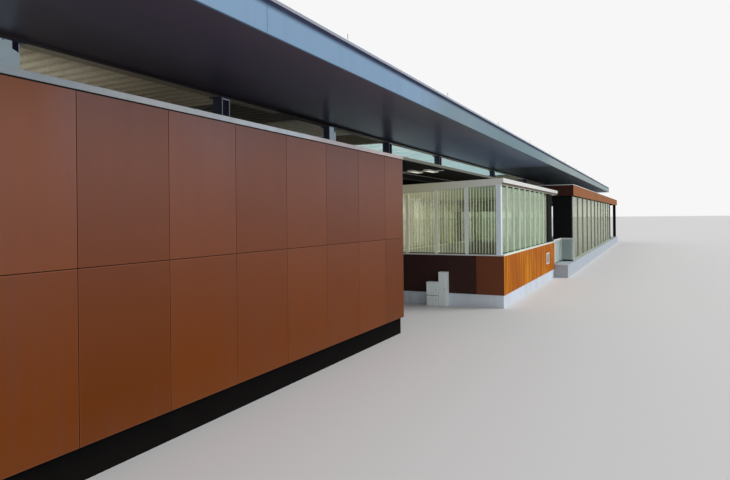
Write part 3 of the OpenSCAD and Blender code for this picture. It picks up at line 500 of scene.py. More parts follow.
class EffectLibrary:
    """Builds each effect's node group once and places it in materials."""

    def __init__(self) -> None:
        """Start with no group built."""
        self.groups: dict[Effect, bpy.types.NodeTree] = {}

    def group(self, effect: Effect) -> bpy.types.NodeTree:
        """Give an effect's node group, and build it the first time.

        Args:
            effect: The effect.

        Returns:
            Its node group.
        """
        if effect not in self.groups:
            tree = bpy.data.node_groups.new(effect.value, "ShaderNodeTree")
            for way, sockets in zip(("INPUT", "OUTPUT"), EFFECT_SOCKETS[effect]):
                for name, kind in sockets:
                    tree.interface.new_socket(name, in_out=way, socket_type=kind)
            nodes = Nodes(tree)
            source = nodes.add("NodeGroupInput")
            target = nodes.add("NodeGroupOutput")
            results = getattr(self, effect.name.lower())(nodes, nodes.place(), source.outputs)
            nodes.fill(target, dict(enumerate(results)))
            self.groups[effect] = tree
        return self.groups[effect]

    def place(self, nodes: Nodes, effect: Effect, **values: object) -> dict[str, Socket]:
        """Place an effect in a material.

        Args:
            nodes: The material's nodes.
            effect: The effect.
            values: Its inputs, by their names with a small first letter.

        Returns:
            The outputs by name.
        """
        node = nodes.add("ShaderNodeGroup", node_tree=self.group(effect))
        nodes.fill(node, {key.capitalize(): value for key, value in values.items()})
        return {socket.name: socket for socket in node.outputs}

    @staticmethod
    def grain(nodes: Nodes, place: Socket, given: Sequence[Socket]) -> list[Socket]:
        """Fine even grain: noise with three finer layers."""
        return [nodes.noise(place, given["Scale"], detail=3.0)]

    @staticmethod
    def mottling(nodes: Nodes, place: Socket, given: Sequence[Socket]) -> list[Socket]:
        """Soft lighter and darker areas: a colour times one plus or minus an amount of noise.

        Args:
            nodes: The group's nodes.
            place: The place on the object.
            given: The group's inputs by name.

        Returns:
            The colour.
        """
        cloud = nodes.math("SUBTRACT", nodes.noise(place, given["Scale"], detail=4.0), 0.5)
        change = nodes.math("MULTIPLY_ADD", cloud, nodes.times(given["Amount"], 2.0), 1.0)
        return [nodes.scaled(given["Colour"], change)]

    @staticmethod
    def streaks(nodes: Nodes, place: Socket, given: Sequence[Socket]) -> list[Socket]:
        """Upright streaks: noise that is fine across the wall and long down it.

        Args:
            nodes: The group's nodes.
            place: The place on the object.
            given: The group's inputs by name.

        Returns:
            The mask.
        """
        x, y, z = nodes.parts(place)
        across = nodes.math("ADD", x, y)
        long = nodes.whole(across, 0.0, nodes.times(z, 0.06))
        fine = nodes.noise(long, given["Scale"], detail=3.0)
        broad = nodes.noise(place, 0.9, detail=2.0)
        return [nodes.spread(nodes.times(fine, nodes.math("ADD", broad, 0.5)), 0.42, 0.72)]

    @staticmethod
    def dust(nodes: Nodes, place: Socket, given: Sequence[Socket]) -> list[Socket]:
        """Dust that thins out with height, broken by noise, and lies on faces that look up.

        Args:
            nodes: The group's nodes.
            place: The place on the object.
            given: The group's inputs by name.

        Returns:
            The mask.
        """
        z = nodes.parts(place)[2]
        wander = nodes.math("MULTIPLY_ADD", nodes.noise(place, 5.0, detail=4.0), 0.16, -0.08)
        low = nodes.add("ShaderNodeMapRange")
        nodes.fill(low, {0: nodes.math("ADD", z, wander), 1: given["Low"], 2: given["High"], 3: 1.0, 4: 0.0})
        upward = nodes.parts(nodes.normal())[2]
        top = nodes.times(nodes.spread(upward, 0.6, 0.95), nodes.noise(place, 8.0, detail=4.0))
        return [nodes.math("MAXIMUM", low.outputs[0], top)]

    @staticmethod
    def panels(nodes: Nodes, place: Socket, given: Sequence[Socket]) -> list[Socket]:
        """Layout of a clad wall.

        A panel's number is the whole part of the distance from the start over the pitch, along X and Y,
        and of the height over the rise. The tone is a random number for each panel. The rim is a
        narrow line beside each joint, the row is 0 below the first joint and 1 above, and the climb runs
        from 0 at a panel's foot to 1 at its head.

        Args:
            nodes: The group's nodes.
            place: The place on the object.
            given: The group's inputs by name.

        Returns:
            The tone, the rim, the row and the climb.
        """
        x, y, z = nodes.parts(nodes.vector("SUBTRACT", place, given["Start"]))
        column = [nodes.math("DIVIDE", value, given["Pitch"]) for value in (x, y)]
        level = nodes.math("DIVIDE", z, given["Rise"])
        number = nodes.whole(*(nodes.math("FLOOR", value) for value in (*column, level)))
        tone = nodes.add("ShaderNodeTexWhiteNoise", noise_dimensions="3D")
        nodes.put(number, tone.inputs["Vector"])
        normal = nodes.parts(nodes.vector("ABSOLUTE", nodes.normal()))
        run = nodes.add("ShaderNodeMix")
        nodes.fill(run, {0: nodes.math("GREATER_THAN", normal[1], normal[0]), 2: column[1], 3: column[0]})
        near = [nodes.times(nodes.math("PINGPONG", value, 0.5), size)
                for value, size in ((run.outputs[0], given["Pitch"]), (level, given["Rise"]))]
        closest = nodes.math("MINIMUM", *near)
        rim = nodes.math("LESS_THAN", closest, given["Edge"])
        row = nodes.math("GREATER_THAN", level, 1.0)
        return [tone.outputs["Value"], rim, row, nodes.math("FRACT", level)]

    @staticmethod
    def waves(nodes: Nodes, place: Socket, given: Sequence[Socket]) -> list[Socket]:
        """Slight waves of thin flat sheet: broad noise, longer along the building.

        Args:
            nodes: The group's nodes.
            place: The place on the object.
            given: The group's inputs by name.

        Returns:
            The height.
        """
        x, y, z = nodes.parts(place)
        scale = nodes.math("DIVIDE", 1.0, given["Length"])
        stretched = nodes.whole(nodes.times(x, 0.4), y, nodes.times(z, 0.6))
        return [nodes.noise(stretched, scale, detail=1.0)]


EFFECTS = EffectLibrary()
# Scale of the streaks, and a streak's colour as a share of the finish's own.
STREAK_SCALE, STREAK_DARK = 9.0, 0.55
DUST_COLOUR, DUST_ROUGH = rgb(150, 142, 130), 0.3
COAT_ROUGHNESS = 0.12
# How much rougher the grain's high places are than its low ones.
GRAIN_ROUGH = 0.12
# Lengths over which the painted shade sets in and lets up, and the share of the colour that it takes.
GLOOM_IN, GLOOM_OUT, GLOOM_CUT = 0.1, 0.15, 0.78
# Share of the painted daylight that is left where it is weakest across the building.
DAY_LEAST = 0.08


@dataclass(frozen=True)
class Finish:
    """A coated or bare surface with grain, mottling, streaks and dust, and, where set, painted light and
    shade.

    Attributes:
        name: Name of the material.
        colour: Linear base colour.
        roughness: Mean roughness.
        metallic: Share of bare metal.
        coat: Weight of a clear coat.
        specular: Level of the mirror-like part of the reflection, 0.5 for a plain coat.
        gloss: Tint of that part.
        painted_glow: Strength of painted light that the surface gives off, though it is no lamp.
        mottle: How far the colour wanders, as a share.
        mottle_scale: Scale of the mottling.
        grain: Depth of the grain in metres.
        grain_scale: Scale of the grain.
        streaks: How strongly rain streaks show.
        dust: How strongly dust shows.
        dust_top: Height at which the dust near the foot ends.
        day: Painted daylight: added light given off where daylight falls in under the roof.
        day_x: Places along X where that light starts to fall off and where it ends.
        day_y: Places along Y where it is weakest and where it is full.
        gloom: Places along X between which the surface lies in painted shade.
    """

    name: str
    colour: Colour
    roughness: float = 0.45
    metallic: float = 0.0
    coat: float = 0.0
    specular: float = 0.5
    gloss: Colour = WHITE
    painted_glow: float = 0.0
    mottle: float = 0.05
    mottle_scale: float = 1.6
    grain: float = 0.0003
    grain_scale: float = 90.0
    streaks: float = 0.1
    dust: float = 0.1
    dust_top: float = 0.6
    day: float = 0.0
    day_x: tuple[float, float] = (-12.2, -10.5)
    day_y: tuple[float, float] = (-0.75, -0.1)
    gloom: tuple[float, float] | None = None

    def mirror(self, nodes: Nodes) -> Socket | float:
        """Give the level of the mirror-like part of the reflection."""
        return self.specular

    def darken(self, nodes: Nodes, colour: Socket) -> Socket:
        """Paint shade: cut the colour to a small share where the surface lies in the dark.

        Args:
            nodes: The material's nodes.
            colour: The colour before.

        Returns:
            The colour after.
        """
        if self.gloom is None:
            return colour
        x = nodes.along(0)
        start, end = self.gloom
        inside = nodes.times(nodes.spread(x, start, start + GLOOM_IN),
                             nodes.spread(x, end - GLOOM_OUT, end, 1.0, 0.0))
        return nodes.scaled(colour, nodes.math("MULTIPLY_ADD", inside, -GLOOM_CUT, 1.0))

    def shine(self, nodes: Nodes) -> Socket | float:
        """Work out the painted light given off, which painted daylight raises where it falls in under the
        roof.

        Args:
            nodes: The material's nodes.

        Returns:
            The strength of that painted light.
        """
        if not self.day:
            return self.painted_glow
        x, y, _ = nodes.parts(nodes.place())
        fall = nodes.times(nodes.spread(x, *self.day_x, 1.0, 0.0),
                           nodes.spread(y, *self.day_y, DAY_LEAST, 1.0))
        return nodes.math("MULTIPLY_ADD", fall, self.day, self.painted_glow)

    def mottled(self, nodes: Nodes, colour: object) -> Socket:
        """Give a colour with the finish's soft mottling."""
        return EFFECTS.place(nodes, Effect.MOTTLING, colour=colour, scale=self.mottle_scale,
                             amount=self.mottle)["Colour"]

    def paint(self, nodes: Nodes) -> Socket:
        """Give the colour before streaks and dust."""
        return self.mottled(nodes, self.colour)

    def relief(self, nodes: Nodes) -> Socket:
        """Give the height that the bump reads, from 0 to 1."""
        return EFFECTS.place(nodes, Effect.GRAIN, scale=self.grain_scale)["Height"]

    def build(self) -> bpy.types.Material:
        """Build the material.

        Returns:
            The new material.
        """
        material, nodes, shader = start_material(self.name)
        colour = self.paint(nodes)
        streak = EFFECTS.place(nodes, Effect.STREAKS, scale=STREAK_SCALE)["Mask"]
        dark = tuple(value * STREAK_DARK for value in self.colour)
        colour = nodes.mix(nodes.times(streak, self.streaks), colour, dark)
        dust = EFFECTS.place(nodes, Effect.DUST, low=0.0, high=self.dust_top)["Mask"]
        dusty = nodes.times(dust, self.dust)
        colour = self.darken(nodes, nodes.mix(dusty, colour, DUST_COLOUR))
        relief = self.relief(nodes)
        rough = nodes.math("MULTIPLY_ADD", relief, GRAIN_ROUGH, self.roughness - GRAIN_ROUGH / 2)
        bump = nodes.add("ShaderNodeBump")
        nodes.fill(bump, {"Strength": 1.0, "Distance": self.grain, "Height": relief})
        # The emission is painted light, from glow and day.
        nodes.fill(shader, {
            "Base Color": colour,
            "Metallic": self.metallic,
            "Roughness": nodes.math("ADD", rough, nodes.times(dusty, DUST_ROUGH), clamp=True),
            "Specular IOR Level": self.mirror(nodes),
            "Specular Tint": self.gloss,
            "Coat Weight": self.coat,
            "Coat Roughness": COAT_ROUGHNESS,
            "Emission Color": colour,
            "Emission Strength": self.shine(nodes),
            "Normal": bump.outputs["Normal"],
        })
        return material


@dataclass(frozen=True)
class Cladding(Finish):
    """Rust-coloured flat panels in two rows, each with its own tone and a lighter rim, a painted edge
    highlight with wear.

    The colour is warmer towards the foot. Faces that look along the building or to the rear take a painted
    shade.

    Attributes:
        lower: Colour at the foot of the lower row.
        shade: Painted shade: colour of the faces that look along the building or to the rear.
        corner: Painted shade of the faces next to the corner that the panels are counted from.
        reach: Width of that corner's area.
        start: Corner that the panels are counted from.
        pitch: Width of a panel.
        rise: Height of a row.
        tone: How far panels differ from each other.
        rim: How strongly the lighter rims show.
        painted_glint: Colour of painted reflections of sunlight, in bright upright bands on the front.
        painted_glint_share: How strongly those bands show.
        blush: Colour of broad warmer areas.
        blush_share: How strongly those areas show.
        blush_x: Places along X between which the warmest area, at the near end, fades out.
        rim_w: Width of a rim.
        rim_colour: Colour of the rims.
        band_scale: Scale of the bands of painted reflection.
        climb: Power of the height, from 0 at the foot to 1 at the head, in the mix of both colours.
    """

    lower: Colour = (0.2, 0.1, 0.05)
    shade: Colour = (0.2, 0.1, 0.05)
    corner: Colour = (0.2, 0.1, 0.05)
    reach: float = 0.0005
    start: tuple[float, float, float] = (0.0, 0.0, 0.0)
    pitch: float = 0.625
    rise: float = 0.9125
    tone: float = 0.12
    rim: float = 0.15
    painted_glint: Colour = (0.8, 0.4, 0.1)
    painted_glint_share: float = 0.0
    blush: Colour = (0.2, 0.08, 0.04)
    blush_share: float = 0.0
    blush_x: tuple[float, float] = (-13.05, -12.65)
    rim_w: float = 0.006
    rim_colour: Colour = rgb(170, 110, 80)
    band_scale: float = 14.0
    climb: float = 2.2

    def paint(self, nodes: Nodes) -> Socket:
        """Give each panel its colour by its row, its own tone and its side, with painted shade on the faces
        that don't look to the front.

        Args:
            nodes: The material's nodes.

        Returns:
            The socket of the colour.
        """
        layout = EFFECTS.place(nodes, Effect.PANELS, start=self.start, pitch=self.pitch, rise=self.rise,
                               edge=self.rim_w)
        height = nodes.times(nodes.math("ADD", layout["Row"], layout["Climb"]), 0.5)
        height = nodes.math("POWER", height, self.climb)
        colour = nodes.mix(height, self.lower, self.colour)
        area = nodes.spread(nodes.noise(nodes.place(), 0.8, detail=1.5), 0.42, 0.6, 0.0, 0.4)
        area = nodes.math("MAXIMUM", area, nodes.spread(nodes.along(0), *self.blush_x, 1.0, 0.0))
        area = nodes.times(nodes.times(area, height), self.blush_share)
        colour = nodes.mix(area, colour, self.blush)
        # Painted reflections of sunlight: bright upright bands of the glint colour.
        glint_band = EFFECTS.place(nodes, Effect.STREAKS, scale=self.band_scale)["Mask"]
        colour = nodes.mix(nodes.times(glint_band, self.painted_glint_share), colour, self.painted_glint)
        # Painted shade: faces that look along the building or to the rear take the shade colour, and near the
        # start the corner's colour.
        inward = nodes.parts(nodes.vector("SUBTRACT", nodes.place(), self.start))[1]
        shade = nodes.mix(nodes.spread(inward, self.reach * 0.99, self.reach), self.corner, self.shade)
        colour = nodes.mix(nodes.spread(nodes.parts(nodes.normal())[1], -0.9, -0.4), colour, shade)
        change = nodes.math("MULTIPLY_ADD", nodes.math("SUBTRACT", layout["Tone"], 0.5), 2 * self.tone, 1.0)
        colour = nodes.scaled(colour, change)
        colour = nodes.mix(nodes.times(layout["Rim"], self.rim), colour, self.rim_colour)
        return self.mottled(nodes, colour)


@dataclass(frozen=True)
class Sheet(Finish):
    """Coated sheet metal with slight waves under its grain.

    Attributes:
        wave: Length of a wave in metres.
    """

    wave: float = 0.7

    def relief(self, nodes: Nodes) -> Socket:
        """Give broad waves with a little grain on them."""
        wave = EFFECTS.place(nodes, Effect.WAVES, length=self.wave)["Height"]
        return nodes.math("MULTIPLY_ADD", super().relief(nodes), 0.08, wave)


@dataclass(frozen=True)
class Changing(Sheet):
    """Coated sheet metal whose colour changes along one axis, step by step.

    Attributes:
        axis: Number of the axis.
        steps: Each step's start, its end and the colour past its end.
    """

    axis: int = 0
    steps: tuple[tuple[float, float, Colour], ...] = ()

    def paint(self, nodes: Nodes) -> Socket:
        """Mix the colours by the place along the axis, and mottle them.

        Args:
            nodes: The material's nodes.

        Returns:
            The socket of the colour.
        """
        colour = self.colour
        for start, end, other in self.steps:
            colour = nodes.mix(nodes.spread(nodes.along(self.axis), start, end), colour, other)
        return self.mottled(nodes, colour)


@dataclass(frozen=True)
class Shadowed(Changing):
    """Changing sheet metal with a soft shadow along its upper edge.

    Attributes:
        shadow: Heights where the shadow starts and where it is full.
        dark: Colour in the shadow.
    """

    shadow: tuple[float, float] = (0.0, 1.0)
    dark: Colour = (0.03, 0.03, 0.05)

    def mirror(self, nodes: Nodes) -> Socket | float:
        """Give the level of the mirror-like part, which the shadow takes away."""
        return nodes.spread(nodes.along(2), *self.shadow, self.specular, 0.0)

    def paint(self, nodes: Nodes) -> Socket:
        """Give the changing colour, and the dark one near the upper edge."""
        mask = nodes.spread(nodes.along(2), *self.shadow)
        return nodes.mix(mask, super().paint(nodes), self.dark)


@dataclass(frozen=True)
class Ceiling(Changing):
    """Changing sheet metal whose sheen is taken away along its length, a painted shade that cuts its
    reflection.

    Attributes:
        dull: Places along X where the sheen starts to go and where it is gone.
    """

    dull: tuple[float, float] = (0.0, 1.0)

    def mirror(self, nodes: Nodes) -> Socket | float:
        """Give the level of the mirror-like part, which falls along X."""
        return nodes.spread(nodes.along(0), *self.dull, self.specular, 0.02)


@dataclass(frozen=True)
class GlazedPost(Changing):
    """Coated posts that lie behind the front's glass and take its colour there.

    Attributes:
        veil: Colour of the posts behind that glass.
        corner: Place along X up to which the corner post stays bare.
        row: Place along Y up to which the posts of the front reach.
        painted_flank_light: Painted light: how much lighter their forward faces are.
    """

    veil: Colour = (0.4, 0.4, 0.4)
    corner: float = 0.0
    row: float = 0.0
    painted_flank_light: float = 2.3

    def paint(self, nodes: Nodes) -> Socket:
        """Give the changing colour, and the glass's colour on the posts of the front, with painted light on
        their forward faces.

        Args:
            nodes: The material's nodes.

        Returns:
            The socket of the colour.
        """
        x, y, _ = nodes.parts(nodes.place())
        mask = nodes.times(nodes.math("LESS_THAN", y, self.row), nodes.math("GREATER_THAN", x, self.corner))
        painted_flank_light = tuple(min(1.0, self.painted_flank_light * value) for value in self.veil)
        veil = nodes.mix(nodes.facing(1, -1), painted_flank_light, self.veil)
        return nodes.mix(mask, super().paint(nodes), veil)


@dataclass(frozen=True)
class LitCeiling(Changing):
    """Coated sheet metal with painted light given off, stronger on its underside as if lit from below.

    Attributes:
        under: Strength of the painted light on the underside.
    """

    under: float = 0.2

    def shine(self, nodes: Nodes) -> Socket | float:
        """Give the painted light, and the stronger painted light where the surface looks down."""
        return nodes.math("MULTIPLY_ADD", nodes.facing(2, -1), self.under - self.painted_glow, self.painted_glow)


@dataclass(frozen=True)
class ColumnSteel(Finish):
    """Black steel whose flange tips are pale where they look across the building.

    Attributes:
        rows: Places of the two rows of columns along Y.
        half: Distance from a row's middle to the flange tips.
        tip: Colour of the tips.
    """

    rows: tuple[float, float] = (0.0, 1.0)
    half: float = 0.05
    tip: Colour = (0.4, 0.45, 0.5)

    def paint(self, nodes: Nodes) -> Socket:
        """Give black steel, pale within a hair of the flange tips' plane.

        Args:
            nodes: The material's nodes.

        Returns:
            The socket of the colour.
        """
        off = [nodes.math("ABSOLUTE", nodes.math("SUBTRACT", nodes.along(1), row)) for row in self.rows]
        reach = nodes.math("ABSOLUTE", nodes.math("SUBTRACT", nodes.math("MINIMUM", *off), self.half))
        across = nodes.parts(nodes.vector("ABSOLUTE", nodes.normal()))[1]
        mask = nodes.times(nodes.math("LESS_THAN", reach, 0.002), nodes.math("GREATER_THAN", across, 0.9))
        return nodes.mix(mask, super().paint(nodes), self.tip)


@dataclass(frozen=True)
class Galvanised(Finish):
    """Dull galvanised steel with spangle and stains, and painted shade up in the folds of the deck.

    Attributes:
        stain: Colour of the stains.
        fold: Heights of the deck's lower and upper flats.
    """

    stain: Colour = (0.2, 0.18, 0.13)
    fold: tuple[float, float] = (0.0, 1.0)

    def paint(self, nodes: Nodes) -> Socket:
        """Give spangle from the cells of a fine pattern, over broad stains, and shade it by its height.

        Args:
            nodes: The material's nodes.

        Returns:
            The socket of the colour.
        """
        place = nodes.place()
        spangle = nodes.add("ShaderNodeTexVoronoi")
        nodes.fill(spangle, {"Vector": place, "Scale": 70.0})
        tone = nodes.parts(spangle.outputs["Color"])[0]
        colour = nodes.scaled(self.colour, nodes.math("MULTIPLY_ADD", tone, 0.24, 0.88))
        stain = nodes.spread(nodes.noise(place, 0.8, detail=4.0), 0.35, 0.7)
        colour = nodes.mix(nodes.times(stain, 0.45), colour, self.stain)
        # Painted shade: the upper flats, up in the folds, take a dark copy of the stain.
        depth = nodes.spread(nodes.parts(place)[2], *self.fold)
        return nodes.mix(nodes.times(depth, 0.62), colour, tuple(value * 0.25 for value in self.stain))


@dataclass(frozen=True)
class Facing(Finish):
    """Surface with another colour where it looks one way.

    Attributes:
        axis: Number of the axis that it looks along.
        way: 1 for along the axis, -1 for against it.
        other: Colour of the faces that look that way.
    """

    axis: int = 2
    way: int = 1
    other: Colour = (0.6, 0.6, 0.6)

    def paint(self, nodes: Nodes) -> Socket:
        """Give the mottled colour, and the other one where the surface looks that way."""
        return nodes.mix(nodes.facing(self.axis, self.way), super().paint(nodes), self.other)


@dataclass(frozen=True)
class Glass:
    """Clear glass with a faint tint, a little dust and a plain transmission.

    Attributes:
        name: Name of the material.
        colour: Linear tint.
        roughness: Roughness.
        cover: Alpha, so that light also passes straight through.
        painted_glow: Strength of painted light that the glass gives off, standing in for daylight that it
            scatters.
        deep: Darker tint at the low end of the span, a painted shade.
        span: Places along Y where the darker tint starts to fade and where it ends.
        film: How much the dust adds to the roughness and to the alpha.
    """

    name: str
    colour: Colour
    roughness: float = 0.03
    cover: float = 0.45
    painted_glow: float = 0.0
    deep: Colour | None = None
    span: tuple[float, float] = (0.0, 1.0)
    film: float = 0.1

    def build(self) -> bpy.types.Material:
        """Build the material.

        Returns:
            The new material.
        """
        material, nodes, shader = start_material(self.name)
        tint = EFFECTS.place(nodes, Effect.MOTTLING, colour=self.colour, scale=0.8, amount=0.04)["Colour"]
        if self.deep:
            tint = nodes.mix(nodes.spread(nodes.along(1), *self.span), self.deep, tint)
        film = EFFECTS.place(nodes, Effect.DUST, low=0.2, high=1.1)["Mask"]
        nodes.fill(shader, {
            "Base Color": tint,
            "Roughness": nodes.math("MULTIPLY_ADD", film, self.film, self.roughness),
            "IOR": 1.45,
            "Alpha": nodes.math("MULTIPLY_ADD", film, self.film, self.cover, clamp=True),
            "Transmission Weight": 1.0,
            "Emission Color": tint,
            "Emission Strength": self.painted_glow,
        })
        return material


@dataclass(frozen=True)
class Lamp:
    """Opal diffuser that glows softly and evenly.

    Attributes:
        name: Name of the material.
        colour: Linear colour of the diffuser.
        strength: Strength of the light it gives.
    """

    name: str
    colour: Colour
    strength: float = 0.7

    def build(self) -> bpy.types.Material:
        """Build the material.

        Returns:
            The new material.
        """
        material, nodes, shader = start_material(self.name)
        face = EFFECTS.place(nodes, Effect.MOTTLING, colour=self.colour, scale=6.0, amount=0.05)["Colour"]
        nodes.fill(shader, {"Base Color": face, "Roughness": 0.5, "Emission Color": face,
                            "Emission Strength": self.strength})
        return material


@dataclass(frozen=True)
class ColumnGrid:
    """Places of the columns that carry the main roof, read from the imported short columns.

    Attributes:
        first: Place of the first column along X.
        bay: Spacing along X.
        rows: Places of the two rows along Y.
        low: Top of the low roofs.
        head: Top of the short columns.
    """

    first: float
    bay: float
    rows: tuple[float, float]
    low: float
    head: float

    @classmethod
    def from_frame(cls, foot: float = 0.15, last: int = 15) -> "ColumnGrid":
        """Read the grid from the box of the short columns.

        Args:
            foot: Side of a column's plates.
            last: Number of the last bay.

        Returns:
            The grid.
        """
        low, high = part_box("stub_columns")
        half = foot / 2
        bay = (high.x - low.x - foot) / last
        return cls(low.x + half, bay, (low.y + half, high.y - half), low.z, high.z)

    def station(self, bay: float) -> float:
        """Give the place along X after a number of bays."""
        return self.first + bay * self.bay

    def place(self, bay: int) -> float:
        """Give the place of a column, where the one after the fourth bay stands nearer to the block."""
        return self.station(bay) - (NEAR_SHIFT if bay == NEAR_BAY else 0.0)


NEAR_BAY, NEAR_SHIFT = 4, 0.25
GRID = ColumnGrid.from_frame()
BLOCK_LOW, BLOCK_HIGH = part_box("block_track_panels")
BLOCK_Y = (BLOCK_LOW.y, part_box("block_rear_panels")[1].y)
BOX_LOW, BOX_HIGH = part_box("box_panels")
HALL_LOW, HALL_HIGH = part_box("hall_fascia")
DECK_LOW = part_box("ribbed_deck")[0].z
FASCIA_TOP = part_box("roof_fascia")[1].z
# Span along X of the painted shade on the deck and the beams.
GLOOM = (-10.0, -8.6)
PANEL_W = 0.625
BOX_PANEL_W = 0.415
HALL_PANEL_W = 1.25
MID_JOINT = 0.0025
# Panels are counted from this far outside the wall, so that no face lies on a step.
HAIR = 1e-4
# Where there is one row of panels, it is counted from this far down.
FAR_DOWN = 9.0
CLEAN = {"streaks": 0.0, "dust": 0.0}
CONCRETE = {"roughness": 0.8, "specular": 0.2, "mottle": 0.1, "mottle_scale": 2.5, "grain": 0.001,
            "grain_scale": 45.0, "streaks": 0.25, "dust": 0.1, "dust_top": 0.2}
